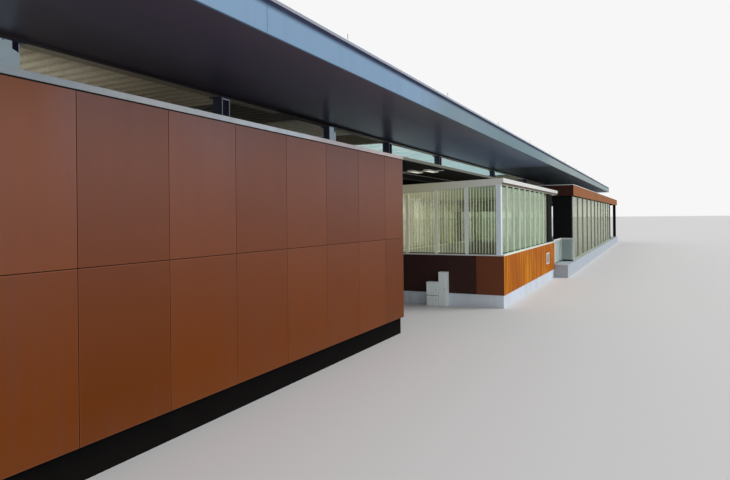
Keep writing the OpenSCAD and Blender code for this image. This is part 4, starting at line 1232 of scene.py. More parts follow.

# Every glow below is painted light given off by a part that is no lamp, every day is painted daylight, and
# every gloom is painted shade.
FINISHES: dict[str, Finish | Glass | Lamp] = {finish.name: finish for finish in (
    # In the claddings below, shade and corner are painted shade on the faces that don't look to the front.
    Cladding("rust_panel", rgb(122, 91, 88), roughness=0.42, specular=0.07, mottle=0.07, grain=0.00012,
             streaks=0.12, blush=rgb(118, 69, 42), blush_share=0.85, dust=0.04, dust_top=0.4,
             lower=rgb(108, 53, 12), shade=rgb(98, 58, 44),
             start=(BLOCK_LOW.x - HAIR, BLOCK_LOW.y - HAIR, BLOCK_LOW.z - MID_JOINT), pitch=PANEL_W),
    Cladding("hall_rust", rgb(146, 92, 52), roughness=0.6, specular=0.03, mottle=0.08, streaks=0.15,
             dust=0.0, lower=rgb(146, 92, 52), shade=rgb(62, 36, 30), tone=0.06,
             start=(HALL_LOW.x, HALL_LOW.y, -FAR_DOWN), pitch=HALL_PANEL_W, rise=FAR_DOWN),
    # A more orange copy of the rust, painted sunlight, with painted reflections in bands on the front.
    Cladding("rust_parapet", rgb(164, 88, 14), roughness=0.55, specular=0.02, mottle=0.08, rim=0.0,
             painted_glint=rgb(218, 142, 20), painted_glint_share=0.85, lower=rgb(164, 88, 14), shade=rgb(68, 48, 46),
             corner=rgb(118, 71, 50), reach=0.4175,
             start=(BOX_LOW.x - HAIR, BOX_LOW.y - HAIR, BOX_LOW.z - FAR_DOWN), pitch=BOX_PANEL_W, rise=9.9,
             tone=0.05, **CLEAN),
    # Near black: the plinth's dark paint, taken darker still as painted shade of its recess.
    Finish("black_base", rgb(11, 10, 10), roughness=0.9, specular=0.03, grain=0.0008, dust=0.01,
           dust_top=0.2),
    Finish("plaster", rgb(214, 211, 204), roughness=0.85, grain=0.0006, grain_scale=60.0),
    Finish("concrete", rgb(206, 216, 228), **CONCRETE),
    # Painted light: the near faces, which look along -X, take a lighter copy of the concrete.
    Facing("box_base", rgb(206, 216, 228), **CONCRETE, axis=0, way=-1, other=rgb(229, 241, 252)),
    Finish("pale_slab", rgb(222, 220, 214), roughness=0.9, specular=0.1, mottle=0.06, grain=0.0008, **CLEAN),
    Finish("platform", rgb(176, 184, 194), roughness=0.85, specular=0.15, mottle=0.08, grain=0.0008, **CLEAN),
    Finish("rooflight_white", rgb(196, 224, 230), roughness=0.5, painted_glow=0.22, grain=0.0002, **CLEAN),
    Sheet("dark_door", rgb(58, 58, 62), roughness=0.4, coat=0.1, grain=0.0004),
    # The fascia's steps along X are painted light and shade; its upper edge carries the painted shadow of the
    # capping.
    Shadowed("pale_metal", rgb(112, 145, 176), roughness=0.4, specular=0.25, mottle=0.04, grain=0.0015,
             streaks=0.12, shadow=(FASCIA_TOP - 0.055, FASCIA_TOP - 0.015), dark=rgb(48, 54, 78),
             steps=((-9.7, -8.5, rgb(94, 123, 138)), (-8.0, -6.0, rgb(75, 110, 122)),
                    (-3.5, -0.5, rgb(112, 133, 136)))),
    Sheet("drain_metal", rgb(186, 206, 216), roughness=0.4, painted_glow=0.2, grain=0.0008, streaks=0.15),
    Sheet("stub_strip", rgb(176, 188, 198), roughness=0.5, painted_glow=0.12, grain=0.0004, **CLEAN),
    # Painted light: the coping grows lighter and pinker in steps along X.
    Changing("coping_metal", rgb(135, 146, 155), roughness=0.4, specular=0.3, grain=0.001, streaks=0.15,
             steps=((-13.0, -12.2, rgb(172, 178, 183)), (-12.2, -11.0, rgb(193, 203, 213)),
                    (-10.7, -10.3, rgb(187, 180, 184)), (-9.8, -9.2, rgb(208, 194, 196)))),
    # The olive grey is painted shade on the canopy's edges; above the hall's top the edge is white.
    Changing("edge_metal", rgb(122, 124, 110), roughness=0.5, specular=0.2, grain=0.001, axis=2,
             steps=((HALL_HIGH.z - 0.001, HALL_HIGH.z - 0.0005, rgb(226, 230, 232)),)),
    # Painted light: mid grey for a dark grey capping, lighter further along X.
    Changing("anthracite", rgb(136, 137, 152), roughness=0.4, mottle=0.08, grain=0.001,
             steps=((-12.0, -7.0, rgb(156, 166, 176)),)),
    # Pale, with painted light given off: the bright line of reflection along the capping's edge.
    Sheet("bead_metal", rgb(226, 234, 242), roughness=0.4, painted_glow=0.15, mottle=0.03, grain=0.0006,
          streaks=0.05, dust=0.0),
    # Painted reflection of the sky in the bluish gloss and the bluish step; the dark step at the far end and
    # the fading sheen are painted shade.
    Ceiling("dark_sheet", rgb(72, 65, 84), roughness=0.34, gloss=(0.62, 0.84, 1.0), mottle=0.1,
            mottle_scale=0.6, grain=0.002, wave=1.6, dull=(-2.2, -1.4), **CLEAN,
            steps=((-9.0, -4.0, rgb(82, 98, 128)), (-2.2, -1.4, rgb(44, 50, 52)))),
    Facing("low_roof", rgb(17, 16, 17), roughness=0.85, specular=0.08, other=rgb(206, 216, 228), **CLEAN),
    # Painted shade on the faces that look to the front, in the other colour, and in the gloom span; painted
    # daylight from day.
    Facing("beam_steel", rgb(146, 138, 122), roughness=0.6, specular=0.2, painted_glow=0.02, day=0.14, gloom=GLOOM,
           day_x=(-12.8, -11.5), day_y=(-1.4, -1.3), mottle=0.1, grain=0.0002, axis=1, way=-1,
           other=rgb(56, 52, 54), **CLEAN),
    Finish("black_steel", rgb(27, 27, 29), roughness=0.6, specular=0.12, grain=0.0002, dust=0.02),
    Finish("black_panel", rgb(26, 28, 27), roughness=0.8, specular=0.02, grain=0.0003, streaks=0.05,
           dust=0.0),
    ColumnSteel("column_steel", rgb(44, 47, 64), roughness=0.5, specular=0.25, painted_glow=0.12, grain=0.0002,
                rows=GRID.rows, tip=rgb(176, 188, 198)),
    Lamp("lamp", rgb(240, 232, 214)),
    Finish("inner_steel", rgb(100, 100, 104), roughness=0.6),
    Finish("membrane", rgb(150, 152, 154), roughness=0.85, mottle=0.12, grain=0.0008, dust=0.35),
    # Painted daylight from day, painted shade in the folds and in the gloom span.
    Galvanised("galvanised", rgb(226, 218, 198), roughness=0.55, specular=0.3, grain=0.0004, painted_glow=0.015,
               day=0.2, gloom=GLOOM, streaks=0.05, dust=0.0, stain=rgb(196, 176, 142),
               fold=(DECK_LOW + 0.004, DECK_LOW + 0.045)),
    Sheet("white_metal", rgb(232, 233, 230), roughness=0.36, mottle=0.03, grain=0.0006, dust=0.03),
    Glass("clear_glass", rgb(228, 240, 212), cover=0.55),
    # The deep tint towards the front is painted shade.
    Glass("box_glazing", rgb(255, 255, 232), cover=0.7, painted_glow=0.012, deep=rgb(152, 182, 142),
          span=(BOX_LOW.y + 0.2, BOX_LOW.y + 1.3)),
    # The olive tint paints the greenery reflected in the screens.
    Glass("hall_glass", rgb(146, 164, 92), cover=0.85),
    Glass("milky_glass", rgb(196, 216, 212), roughness=0.35, cover=0.8, painted_glow=0.12),
    Finish("cabinet", rgb(232, 242, 244), roughness=0.55, specular=0.3, painted_glow=0.06, mottle=0.04, streaks=0.2,
           dust_top=0.3),
    Finish("joint_tape", rgb(34, 20, 15), roughness=0.8, specular=0.1, grain=0.0005, dust=0.0),
    Finish("rubber", rgb(24, 24, 25), roughness=0.8, specular=0.15, grain=0.0005, dust=0.0),
    # A brownish strip that paints the shade of the recess under the box roof's nose.
    Finish("nose_shade_strip", rgb(104, 92, 70), roughness=0.7, specular=0.2, grain=0.0003, dust=0.0),
    # Painted light: given off all over, stronger on the underside, and a warmer, greener step towards the
    # rear.
    LitCeiling("box_white", rgb(182, 184, 180), roughness=0.36, painted_glow=0.3, mottle=0.03, grain=0.0006,
               streaks=0.08, dust=0.0, under=0.3, axis=1,
               steps=((BOX_LOW.y, BOX_LOW.y + 1.6, rgb(178, 176, 150)),)),
    # Painted light on the forward faces of the posts behind the front's glass, and in the step along Y.
    GlazedPost("box_posts", rgb(208, 220, 228), roughness=0.36, painted_glow=0.14, mottle=0.03, grain=0.0006,
               streaks=0.08, dust=0.0, axis=1, steps=((BOX_LOW.y, BOX_LOW.y + 1.5, rgb(224, 222, 200)),),
               veil=rgb(156, 174, 156), corner=BOX_LOW.x + 0.2, row=BOX_LOW.y + 0.12),
    Sheet("hall_posts", rgb(152, 162, 130), roughness=0.4, mottle=0.03, grain=0.0006, streaks=0.05, dust=0.0),
    # The same printed lines as two copies by light: white_line, for the near face in shade, gives off painted
    # light; sunny_line, for the sunlit faces, is greyer.
    Finish("white_line", rgb(240, 238, 214), roughness=0.5, painted_glow=0.36, grain=0.0001, **CLEAN),
    Finish("sunny_line", rgb(198, 208, 174), roughness=0.6, specular=0.1, grain=0.0001, **CLEAN),
    Finish("zinc", rgb(148, 150, 150), roughness=0.35, metallic=0.6, grain=0.0002),
)}

NODE_FINISHES = {
    "block_coping": "coping_metal",
    "block_roof_slab": "pale_slab",
    "low_roof_edges": "edge_metal",
    "platform_floor": "platform",
    "canopy_slab": "low_roof",
    "hall_roof_slab": "low_roof",
    "stub_columns": "column_steel",
    "roof_beams": "beam_steel",
    "rooflight_frame": "rooflight_white",
    "hall_fascia": "hall_rust",
    "hall_screen_frames": "hall_posts",
    "hall_screen_glass": "hall_glass",
    "balustrade_glass": "milky_glass",
    "box_plinth": "box_base",
    "box_end_pier": "black_panel",
    "box_frame": "box_posts",
    "box_glass": "box_glazing",
    "box_roof": "box_white",
    "hall_columns": "black_panel",
    "balustrade_posts": "white_metal",
}


class Side(Enum):
    """The four sides of a building part, as its axis of depth and the way it looks."""

    FRONT = (1, -1)
    REAR = (1, 1)
    NEAR = (0, -1)
    FAR = (0, 1)

    @property
    def along(self) -> int:
        """The axis that runs along the wall."""
        return 1 - self.value[0]


@dataclass(frozen=True)
class CladFace:
    """One clad side and the joints in it.

    Attributes:
        side: Which way it looks.
        plane: Place of its outer face.
        ends: Ends along the wall.
        levels: Bottom and top.
        pitch: Width of a panel.
        rows: Heights of level joints.
        joint: Width of a tape.
        depth: How far the tape's two faces lie behind the outer face.
        least: Least width of the last panel, under which it joins the one before.
    """

    side: Side
    plane: float
    ends: tuple[float, float]
    levels: tuple[float, float]
    pitch: float
    rows: tuple[float, ...] = ()
    joint: float = 0.0046
    depth: tuple[float, float] = (0.004, 0.0135)
    least: float = 0.12

    def joints(self) -> np.ndarray:
        """Place the upright joints, counted from the low end.

        Returns:
            Their places along the wall.
        """
        length = self.ends[1] - self.ends[0]
        count = max(1, math.ceil((length - self.least) / self.pitch - ROUNDING))
        return self.ends[0] + np.arange(1, count) * self.pitch

    def tapes(self) -> Surface:
        """Make the dark tapes that close the open joints from behind.

        Returns:
            One surface with the upright and the level tapes.
        """
        (axis, way), along, half = self.side.value, self.side.along, self.joint / 2
        places, rows = self.joints(), np.array(self.rows)
        low, high = np.empty((2, len(places) + len(rows), 3))
        low[:, axis], high[:, axis] = sorted(self.plane - way * depth for depth in self.depth)
        upright, level = np.split(np.arange(len(low)), [len(places)])
        low[upright, along], high[upright, along] = places - half, places + half
        low[upright, 2], high[upright, 2] = self.levels
        low[level, along], high[level, along] = self.ends
        low[level, 2], high[level, 2] = rows - half, rows + half
        return boxes(low, high)


class Paintbox:
    """Builds each finish once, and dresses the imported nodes."""

    def __init__(self) -> None:
        """Build all the finishes."""
        self.materials = {name: finish.build() for name, finish in FINISHES.items()}

    def __getitem__(self, name: str) -> bpy.types.Material:
        """Give a finish's material by its name."""
        return self.materials[name]

    def dress_nodes(self) -> None:
        """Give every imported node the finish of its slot, or its own."""
        for part in frame["record"]["subparts"]:
            node = part["node"]
            name = NODE_FINISHES.get(node, part["material_slot"])
            slots = frame["nodes"][node].data.materials
            slots.clear()
            slots.append(self.materials[name])
            LOG.info("%s: finish %s", node, name)


@dataclass
class Assembly:
    """A sub-assembly that adds its pieces to the building.

    Attributes:
        paint: The finishes by name.
    """

    paint: Paintbox

    def piece(self, name: str, surface: Surface, finish: str, slot: str, smooth: bool = False) -> None:
        """Put a surface into a mesh object that rides with the building.

        Args:
            name: Name of the piece.
            surface: Its points and faces.
            finish: Name of its finish.
            slot: The record's material slot that the finish belongs to; not used.
            smooth: Whether round faces are shaded smooth.
        """
        mesh = bpy.data.meshes.new(name)
        mesh.from_pydata(surface.points.tolist(), [], [face for a in surface.faces for face in a.tolist()])
        mesh.polygons.foreach_set("use_smooth", np.full(len(mesh.polygons), smooth))
        if smooth:
            mesh.set_sharp_from_angle(angle=SHARP_ANGLE)
        mesh.materials.append(self.paint[finish])
        mesh.update()
        piece = add_object(name, mesh)
        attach(piece, BODY)
        LOG.info("%s: %d points, %d faces", name, len(mesh.vertices), len(mesh.polygons))


def hex_bolt(radius: float, height: float) -> Surface:
    """Make a bolt's head: a six-sided ring with a washer under it and a bevel on top.

    Args:
        radius: Half of the width across flats.
        height: Height of the head's top.

    Returns:
        The head, standing up from the origin.
    """
    brim, rim, bevel = 1.5 * radius, 0.2 * height, 0.85
    washer = revolved([[brim, 0.0], [brim, rim]], 12)
    head = revolved([[radius, rim], [radius, height * bevel], [radius * bevel, height]], 12, flats=6)
    return Surface.join([washer, head])


@dataclass(frozen=True)
class FootPlate:
    """A bevelled plate with a bolt near each corner.

    Attributes:
        half: Half of the plate's side.
        thick: Its thickness.
        edge: Width of its bevel.
        reach: Distance of a bolt from the plate's middle along X and Y.
        bolt: Half of a bolt head's width across flats, and its height.
    """

    half: float = 0.085
    thick: float = 0.008
    edge: float = 0.002
    reach: float = 0.065
    bolt: tuple[float, float] = (0.008, 0.009)

    def stood(self, places: Sequence[Values]) -> Surface:
        """Stand a plate with its four bolts at each place.

        Args:
            places: Middles of the plates' lower faces, one row a plate.

        Returns:
            One surface with every plate and bolt.
        """
        places = np.asarray(places, dtype=float)
        low, high = [-self.half, -self.half, 0.0], [self.half, self.half, self.thick]
        corners = cells([-self.reach, self.reach], [-self.reach, self.reach], [self.thick])
        heads = hex_bolt(*self.bolt).tiled((places[:, None] + corners[None]).reshape(-1, 3))
        return Surface.join([soft_boxes(low, high, self.edge).tiled(places), heads])


@dataclass
class OfficeBlock(Assembly):
    """The clad block at the near end: joint tapes, coping straps, a dark strip of painted shadow under the
    coping, vent strip, door fittings.
    """

    strap_w: float = 0.05
    strap_t: float = 0.0012
    strap_pitch: float = 1.25
    vent_t: float = 0.004
    shadow_h: float = 0.007
    shadow_t: float = 0.002
    hinge_r: float = 0.008
    hinge_h: float = 0.06
    hinge_levels: tuple[float, ...] = (0.12, 0.5, 0.88)
    door_gap: float = 0.005
    door_frame: float = 0.035
    door_leaf: float = 0.002

    def faces(self) -> list[CladFace]:
        """Describe the four clad sides.

        Returns:
            The front, the rear, the near and the far side.
        """
        levels = (BLOCK_LOW.z, BLOCK_HIGH.z)
        x, y = (BLOCK_LOW.x, BLOCK_HIGH.x), BLOCK_Y
        sides = ((Side.FRONT, y[0], x), (Side.REAR, y[1], x), (Side.NEAR, x[0], y), (Side.FAR, x[1], y))
        return [CladFace(*side, levels, PANEL_W, (sum(levels) / 2,)) for side in sides]

    def joint_tapes(self) -> None:
        """Close the open joints with dark tapes, left out where the door stands."""
        low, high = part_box("block_door")
        left, right, head = low.y - self.door_gap, high.y + self.door_gap, high.z + self.door_gap
        *faces, far = self.faces()
        upper = replace(far, levels=(head, far.levels[1]), rows=())
        parts = [face.tapes() for face in (*faces, upper)]
        half, row = far.joint / 2, far.rows[0]
        back, front = sorted(far.plane - depth for depth in far.depth)
        for start, end in ((far.ends[0], left), (right, far.ends[1])):
            kept = [place for place in far.joints() if start < place < end]
            low = [[back, place - half, far.levels[0]] for place in kept] + [[back, start, row - half]]
            high = [[front, place + half, head] for place in kept] + [[front, end, row + half]]
            parts.append(boxes(low, high))
        self.piece("block_joint_tapes", Surface.join(parts), "joint_tape", "black_base")

    def coping_straps(self) -> None:
        """Cover the joints of the coping with thin straps that follow its face and its top."""
        low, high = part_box("block_coping")
        width, fall, foot = 0.135, 0.007, 0.004
        t, tall = self.strap_t, high.z - low.z
        outline = [[0.0, foot], [0.0, tall], [-width, tall - fall], [-width, tall - fall + t], [t, tall + t],
                   [t, foot]]
        parts = []
        for side in Side:
            axis, way = side.value
            ends = (low[side.along], high[side.along])
            face = low[axis] if way < 0 else high[axis]
            for place in steps_between(*ends, self.strap_pitch):
                path = np.empty((2, 3))
                path[:, axis], path[:, 2] = face, low.z
                run = (-1 if side in (Side.REAR, Side.NEAR) else 1) * self.strap_w / 2
                path[:, side.along] = place - run, place + run
                parts.append(swept(outline, path, False))
        self.piece("block_coping_straps", Surface.join(parts), "coping_metal", "pale_metal")

    def coping_gap(self) -> None:
        """Paint the shadow under the coping's lip with a dark strip in front of the panels' upper edge."""
        top = -0.0002
        profile = [[0.0, -self.shadow_h], [self.shadow_t, -self.shadow_h], [self.shadow_t, top], [0.0, top]]
        path = rectangle((BLOCK_LOW.x, BLOCK_HIGH.x), BLOCK_Y, BLOCK_HIGH.z)
        self.piece("block_coping_shadow", swept(profile, path, True), "rubber", "black_base")

    def vent_strip(self) -> None:
        """Close the gap between the plinth and the panels' lower edge with a dark vent strip."""
        low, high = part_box("block_plinth")
        reach = low.x - BLOCK_LOW.x - 0.003
        profile = [[0.0, 0.0], [reach, 0.0], [reach, self.vent_t], [0.0, self.vent_t]]
        path = rectangle((low.x, high.x), (low.y, high.y), high.z - self.vent_t)
        self.piece("block_vent_strip", swept(profile, path, True), "rubber", "black_base")

    def door_fittings(self) -> None:
        """Add hinges and a threshold to the closed door."""
        low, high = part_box("block_door")
        left, right = low.y + self.door_frame, high.y - self.door_frame
        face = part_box("block_concourse_wall")[1].x - self.door_frame
        bevel, tip = 0.002, self.hinge_r * 0.8
        pin = revolved([[tip, 0.0], [self.hinge_r, bevel], [self.hinge_r, self.hinge_h - bevel],
                        [tip, self.hinge_h]], 16)
        levels = low.z + np.array(self.hinge_levels) * (high.z - low.z) - self.hinge_h / 2
        hinges = pin.tiled(cells([face + self.door_leaf], [right], levels))
        self.piece("door_hinges", hinges, "zinc", "dark_door", smooth=True)
        plate = soft_boxes([face - 0.03, left, low.z], [face + 0.035, right, low.z + 0.006], bevel)
        self.piece("door_threshold", plate, "zinc", "dark_door")

    def build(self) -> None:
        """Build and dress everything on the block."""
        self.joint_tapes()
        self.coping_straps()
        self.coping_gap()
        self.vent_strip()
        self.door_fittings()


@dataclass
class Concourse(Assembly):
    """The low canopy between the block and the hall: lamp trims and feeds, conduits and column feet."""

    lamp: tuple[float, float] = (0.36, 0.08)
    trim: float = 0.008
    pipe_r: float = 0.008
    feed_r: float = 0.007
    light_pitch: float = 0.235
    light_shift: float = 0.28
    light_edge: float = 0.325
    light_next: float = 0.806
    light_in: float = 0.405
    feed_in: float = 0.02
    beam_half: float = 0.06
    pipe_off: float = 0.075
    clip_pitch: float = 0.6
    bays: tuple[int, ...] = (4, 5, 6, 7)

    def lamp_places(self) -> np.ndarray:
        """Place the ceiling lamps.

        Returns:
            The middle of each lamp's lower face, one row a lamp.
        """
        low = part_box("canopy_lights")[0].z
        edges = np.array([BLOCK_Y[0] + self.light_edge, BLOCK_Y[1] - self.light_edge])
        pair = np.array([-0.5, 0.5]) * self.light_pitch
        outer = cells([GRID.place(self.bays[0]) + self.light_shift], (edges[:, None] + pair).ravel(), [low])
        rows = (GRID.rows[0] + self.light_in, GRID.rows[1] - self.light_in)
        inner = cells([GRID.station(bay) + self.light_next for bay in self.bays[1:3]], rows, [low])
        return np.concatenate([outer, inner])

    def lamp_trims(self) -> None:
        """Frame every lamp with a thin square trim."""
        long, wide = self.lamp[0] / 2, self.lamp[1] / 2
        profile = [[CLEAR, -0.003], [self.trim, -0.001], [self.trim, 0.016], [CLEAR, 0.016]]
        ring = swept(profile, rectangle((-long, long), (-wide, wide), 0.0), True)
        self.piece("lamp_trims", ring.tiled(self.lamp_places()), "white_metal", "white_metal")

    def lamp_feeds(self) -> None:
        """Run a thin pipe across the building past the outer lamps, left out at the beams and the lamps."""
        places = self.lamp_places()
        x, z = places[0, 0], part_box("canopy_slab")[0].z - self.feed_r - CLEAR
        lamps = np.unique(places[places[:, 0] == x, 1])
        half, beam = self.lamp[1] / 2 + self.trim + 0.001, self.beam_half
        gaps = sorted([(y - half, y + half) for y in lamps] + [(row - beam, row + beam) for row in GRID.rows])
        first, last = BLOCK_Y[0] + self.feed_in, BLOCK_Y[1] - self.feed_in
        stops = [first, *(value for gap in gaps for value in gap), last]
        parts = [tube([[x, low, z], [x, high, z]], self.feed_r, PIPE_SIDES)
                 for low, high in zip(stops[::2], stops[1::2])]
        self.piece("lamp_feeds", Surface.join(parts), "white_metal", "white_metal")

    def conduits(self) -> None:
        """Run thin pipes under the canopy slab beside the beams of both rows."""
        low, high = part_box("canopy_slab")
        z, start, end = low.z - self.pipe_r - 0.001, low.x + 0.02, high.x - 0.03
        rows = [GRID.rows[0] - self.pipe_off, GRID.rows[0] + self.pipe_off, GRID.rows[1] - self.pipe_off]
        parts = [tube([[start, y, z], [end, y, z]], self.pipe_r, PIPE_SIDES) for y in rows]
        clip = soft_boxes([-0.012, -0.016, -0.012], [0.012, 0.016, 0.009], 0.002)
        parts.append(clip.tiled(cells(steps_between(low.x, high.x, self.clip_pitch), rows, [z])))
        self.piece("canopy_conduits", Surface.join(parts), "zinc", "black_steel")

    def column_feet(self) -> None:
        """Bolt a plate under each canopy column."""
        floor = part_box("platform_floor")[1].z
        places = [[GRID.place(bay), GRID.rows[1], floor] for bay in self.bays]
        self.piece("canopy_column_feet", FootPlate().stood(places), "black_steel", "black_steel")

    def build(self) -> None:
        """Build and dress everything under the canopy."""
        self.lamp_trims()
        self.lamp_feeds()
        self.conduits()
        self.column_feet()


@dataclass
class MainRoof(Assembly):
    """The long floating roof: edge beads, seals, bolts, drain casings and what lies on top."""

    bead: float = 0.005
    hem: float = 0.004
    stubs: tuple[int, ...] = (0, 1, 2, 3, 4, 5, 7, 9, 11, 13, 15)
    plate: float = 0.008
    bolt_off: float = 0.055
    column_half: float = 0.05
    drain_bays: tuple[int, ...] = (1, 3)
    casing: float = 0.012
    rod_first: float = 0.69
    rod_pitch: float = 2.335
    rod_h: float = 0.076
    rod_r: float = 0.003
    rod_count: int = 14
    seam_first: float = 4.275
    seam_pitch: float = 5.625
    lap_pitch: float = 1.0
    outlet_bays: tuple[int, ...] = (1, 3, 7, 11, 15)
    outlet_off: float = 0.35
    glass_first: float = 1.365
    glass_bays: tuple[int, ...] = (1, NEAR_BAY, 9)
    bar_pitch: float = 0.625
    bar_w: float = 0.028

    def edge_beads(self) -> None:
        """Run a round pale bead with painted light along the upper edge of the capping, for its bright line
        of reflection, and a hem under the fascia.
        """
        low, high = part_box("roof_capping")
        angle = np.linspace(0, 2 * np.pi, 8, endpoint=False)
        profile = np.stack([np.cos(angle), np.sin(angle)], axis=1) * self.bead
        inset, z = 0.001, high.z - self.bead * 0.6
        path = rectangle((low.x + inset, high.x - inset), (low.y + inset, high.y - inset), z)
        self.piece("capping_bead", swept(profile, path, True), "bead_metal", "pale_metal", smooth=True)
        low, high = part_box("roof_fascia")
        path = rectangle((low.x, high.x), (low.y, high.y), low.z)
        back, front, foot = -0.015, self.hem * 0.4, -0.001
        profile = [[back, foot], [front, foot], [front, self.hem], [back, self.hem * 0.5]]
        self.piece("fascia_hem", swept(profile, path, True), "pale_metal", "pale_metal")

    def fascia_seals(self) -> None:
        """Fill the joints of the long fascias with a dark seal that lies just inside the face."""
        low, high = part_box("roof_fascia")
        places = np.arange(low.x + self.seam_first, high.x - END_LEFT, self.seam_pitch)
        half, front, back = 0.0014, 0.0008, 0.0145
        size = (2 * half, back - front, high.z - low.z)
        seals = equal_boxes(places - half, [low.y + front, high.y - back], [low.z], size)
        self.piece("fascia_seals", seals, "rubber", "black_steel")

    def plate_bolts(self) -> None:
        """Bolt both plates of every short column with four hexagonal bolts."""
        head = hex_bolt(0.0085, 0.01)
        offsets = [-self.bolt_off, self.bolt_off]
        x = [GRID.place(k) + a for k in self.stubs for a in offsets]
        y = [row + a for row in GRID.rows for a in offsets]
        lower = head.tiled(cells(x, y, [GRID.low + self.plate]))
        upper = head.turned("X", 180).tiled(cells(x, y, [GRID.head - self.plate]))
        self.piece("column_plate_bolts", Surface.join([lower, upper]), "zinc", "black_steel")

    def drain_casings(self) -> None:
        """Add the pale casings of the roof drains in front of two columns of the front row."""
        face, base, head = GRID.rows[0] - self.column_half, GRID.low + self.plate, GRID.head
        left, step, right = -0.09, -0.003, 0.04
        top, neck, shoulder = head - 0.009, head - 0.053, head - 0.071
        outline = [[left, base], [right, base], [right, shoulder], [step, neck], [step, top], [left, top]]
        parts = [swept(outline, [[x, face - self.casing, 0.0], [x, face - CLEAR, 0.0]], False)
                 for x in map(GRID.station, self.drain_bays)]
        self.piece("drain_casings", Surface.join(parts), "drain_metal", "pale_metal")

    def head_strips(self) -> None:
        """Join the pale flange tips of every short column of the front row under its head plate."""
        face, top = GRID.rows[0] - self.column_half, GRID.head - self.plate
        places = [[GRID.place(k), face, top] for k in self.stubs if k not in self.drain_bays]
        half, thick, tall = self.column_half, 0.0015, 0.012
        strip = soft_boxes([-half, -thick, -tall], [half, 0.0, -CLEAR], 0.0005)
        self.piece("stub_head_strips", strip.tiled(places), "stub_strip", "pale_metal")

    def air_rods(self) -> None:
        """Stand thin rods on a small foot along both long edges of the capping."""
        low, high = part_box("roof_capping")
        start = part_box("roof_fascia")[0].x + self.rod_first
        profile = [[0.014, -0.004], [0.014, 0.003], [0.006, 0.008], [self.rod_r, 0.012],
                   [self.rod_r, self.rod_h - 0.004], [self.rod_r * 0.3, self.rod_h]]
        rods = start + np.arange(self.rod_count) * self.rod_pitch
        places = cells(rods, [low.y + 0.05, high.y - 0.05], [high.z])
        self.piece("air_rods", revolved(profile, 10).tiled(places), "zinc", "pale_metal", smooth=True)

    def cover_laps(self) -> None:
        """Lay the laps of the roof covering along both long edges, and stand the drain outlets there."""
        low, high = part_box("roof_cover")
        x = steps_between(low.x + END_LEFT, high.x - END_LEFT, self.lap_pitch)
        half, rim, beam = 0.02, 0.12, 0.02
        parts = []
        for start, end in ((low.y + rim, GRID.rows[0] - beam), (GRID.rows[1] + beam, high.y - rim)):
            corner = cells(x, [start], [high.z])
            parts.append(soft_boxes(corner - [half, 0, 0], corner + [half, end - start, 0.0018], 0.0008))
        self.piece("cover_laps", Surface.join(parts), "membrane", "membrane")
        dome = [[0.07, 0.0], [0.07, 0.004], [0.045, 0.006], [0.042, 0.024], [0.03, 0.036], [0.012, 0.041]]
        rows = [GRID.rows[0] - self.outlet_off, GRID.rows[1] + self.outlet_off]
        places = cells([GRID.station(bay) for bay in self.outlet_bays], rows, [high.z])
        self.piece("roof_outlets", revolved(dome, 20).tiled(places), "zinc", "membrane", smooth=True)

    def glass_caps(self) -> None:
        """Cap the glazing bars of both rooflights."""
        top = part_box("rooflight_glass")[1].z
        beam, margin, half = 0.012, 0.02, self.bar_w / 2
        parts = []
        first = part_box("soffit_sheets")[0].x + self.glass_first
        stops = [first, *(GRID.place(bay) for bay in self.glass_bays)]
        for start, end in zip(stops[::2], stops[1::2]):
            count = max(1, round((end - start) / self.bar_pitch))
            x = start + margin + np.arange(count + 1) * (end - start - 2 * margin) / count
            low = cells(x - half, [GRID.rows[0] + beam], [top])
            high = cells(x + half, [GRID.rows[1] - beam], [top + 0.006])
            parts.append(soft_boxes(low, high, 0.0015))
        self.piece("rooflight_caps", Surface.join(parts), "rooflight_white", "white_metal")

    def build(self) -> None:
        """Build and dress everything on the main roof."""
        self.edge_beads()
        self.fascia_seals()
        self.plate_bolts()
        self.drain_casings()
        self.head_strips()
        self.air_rods()
        self.cover_laps()
        self.glass_caps()


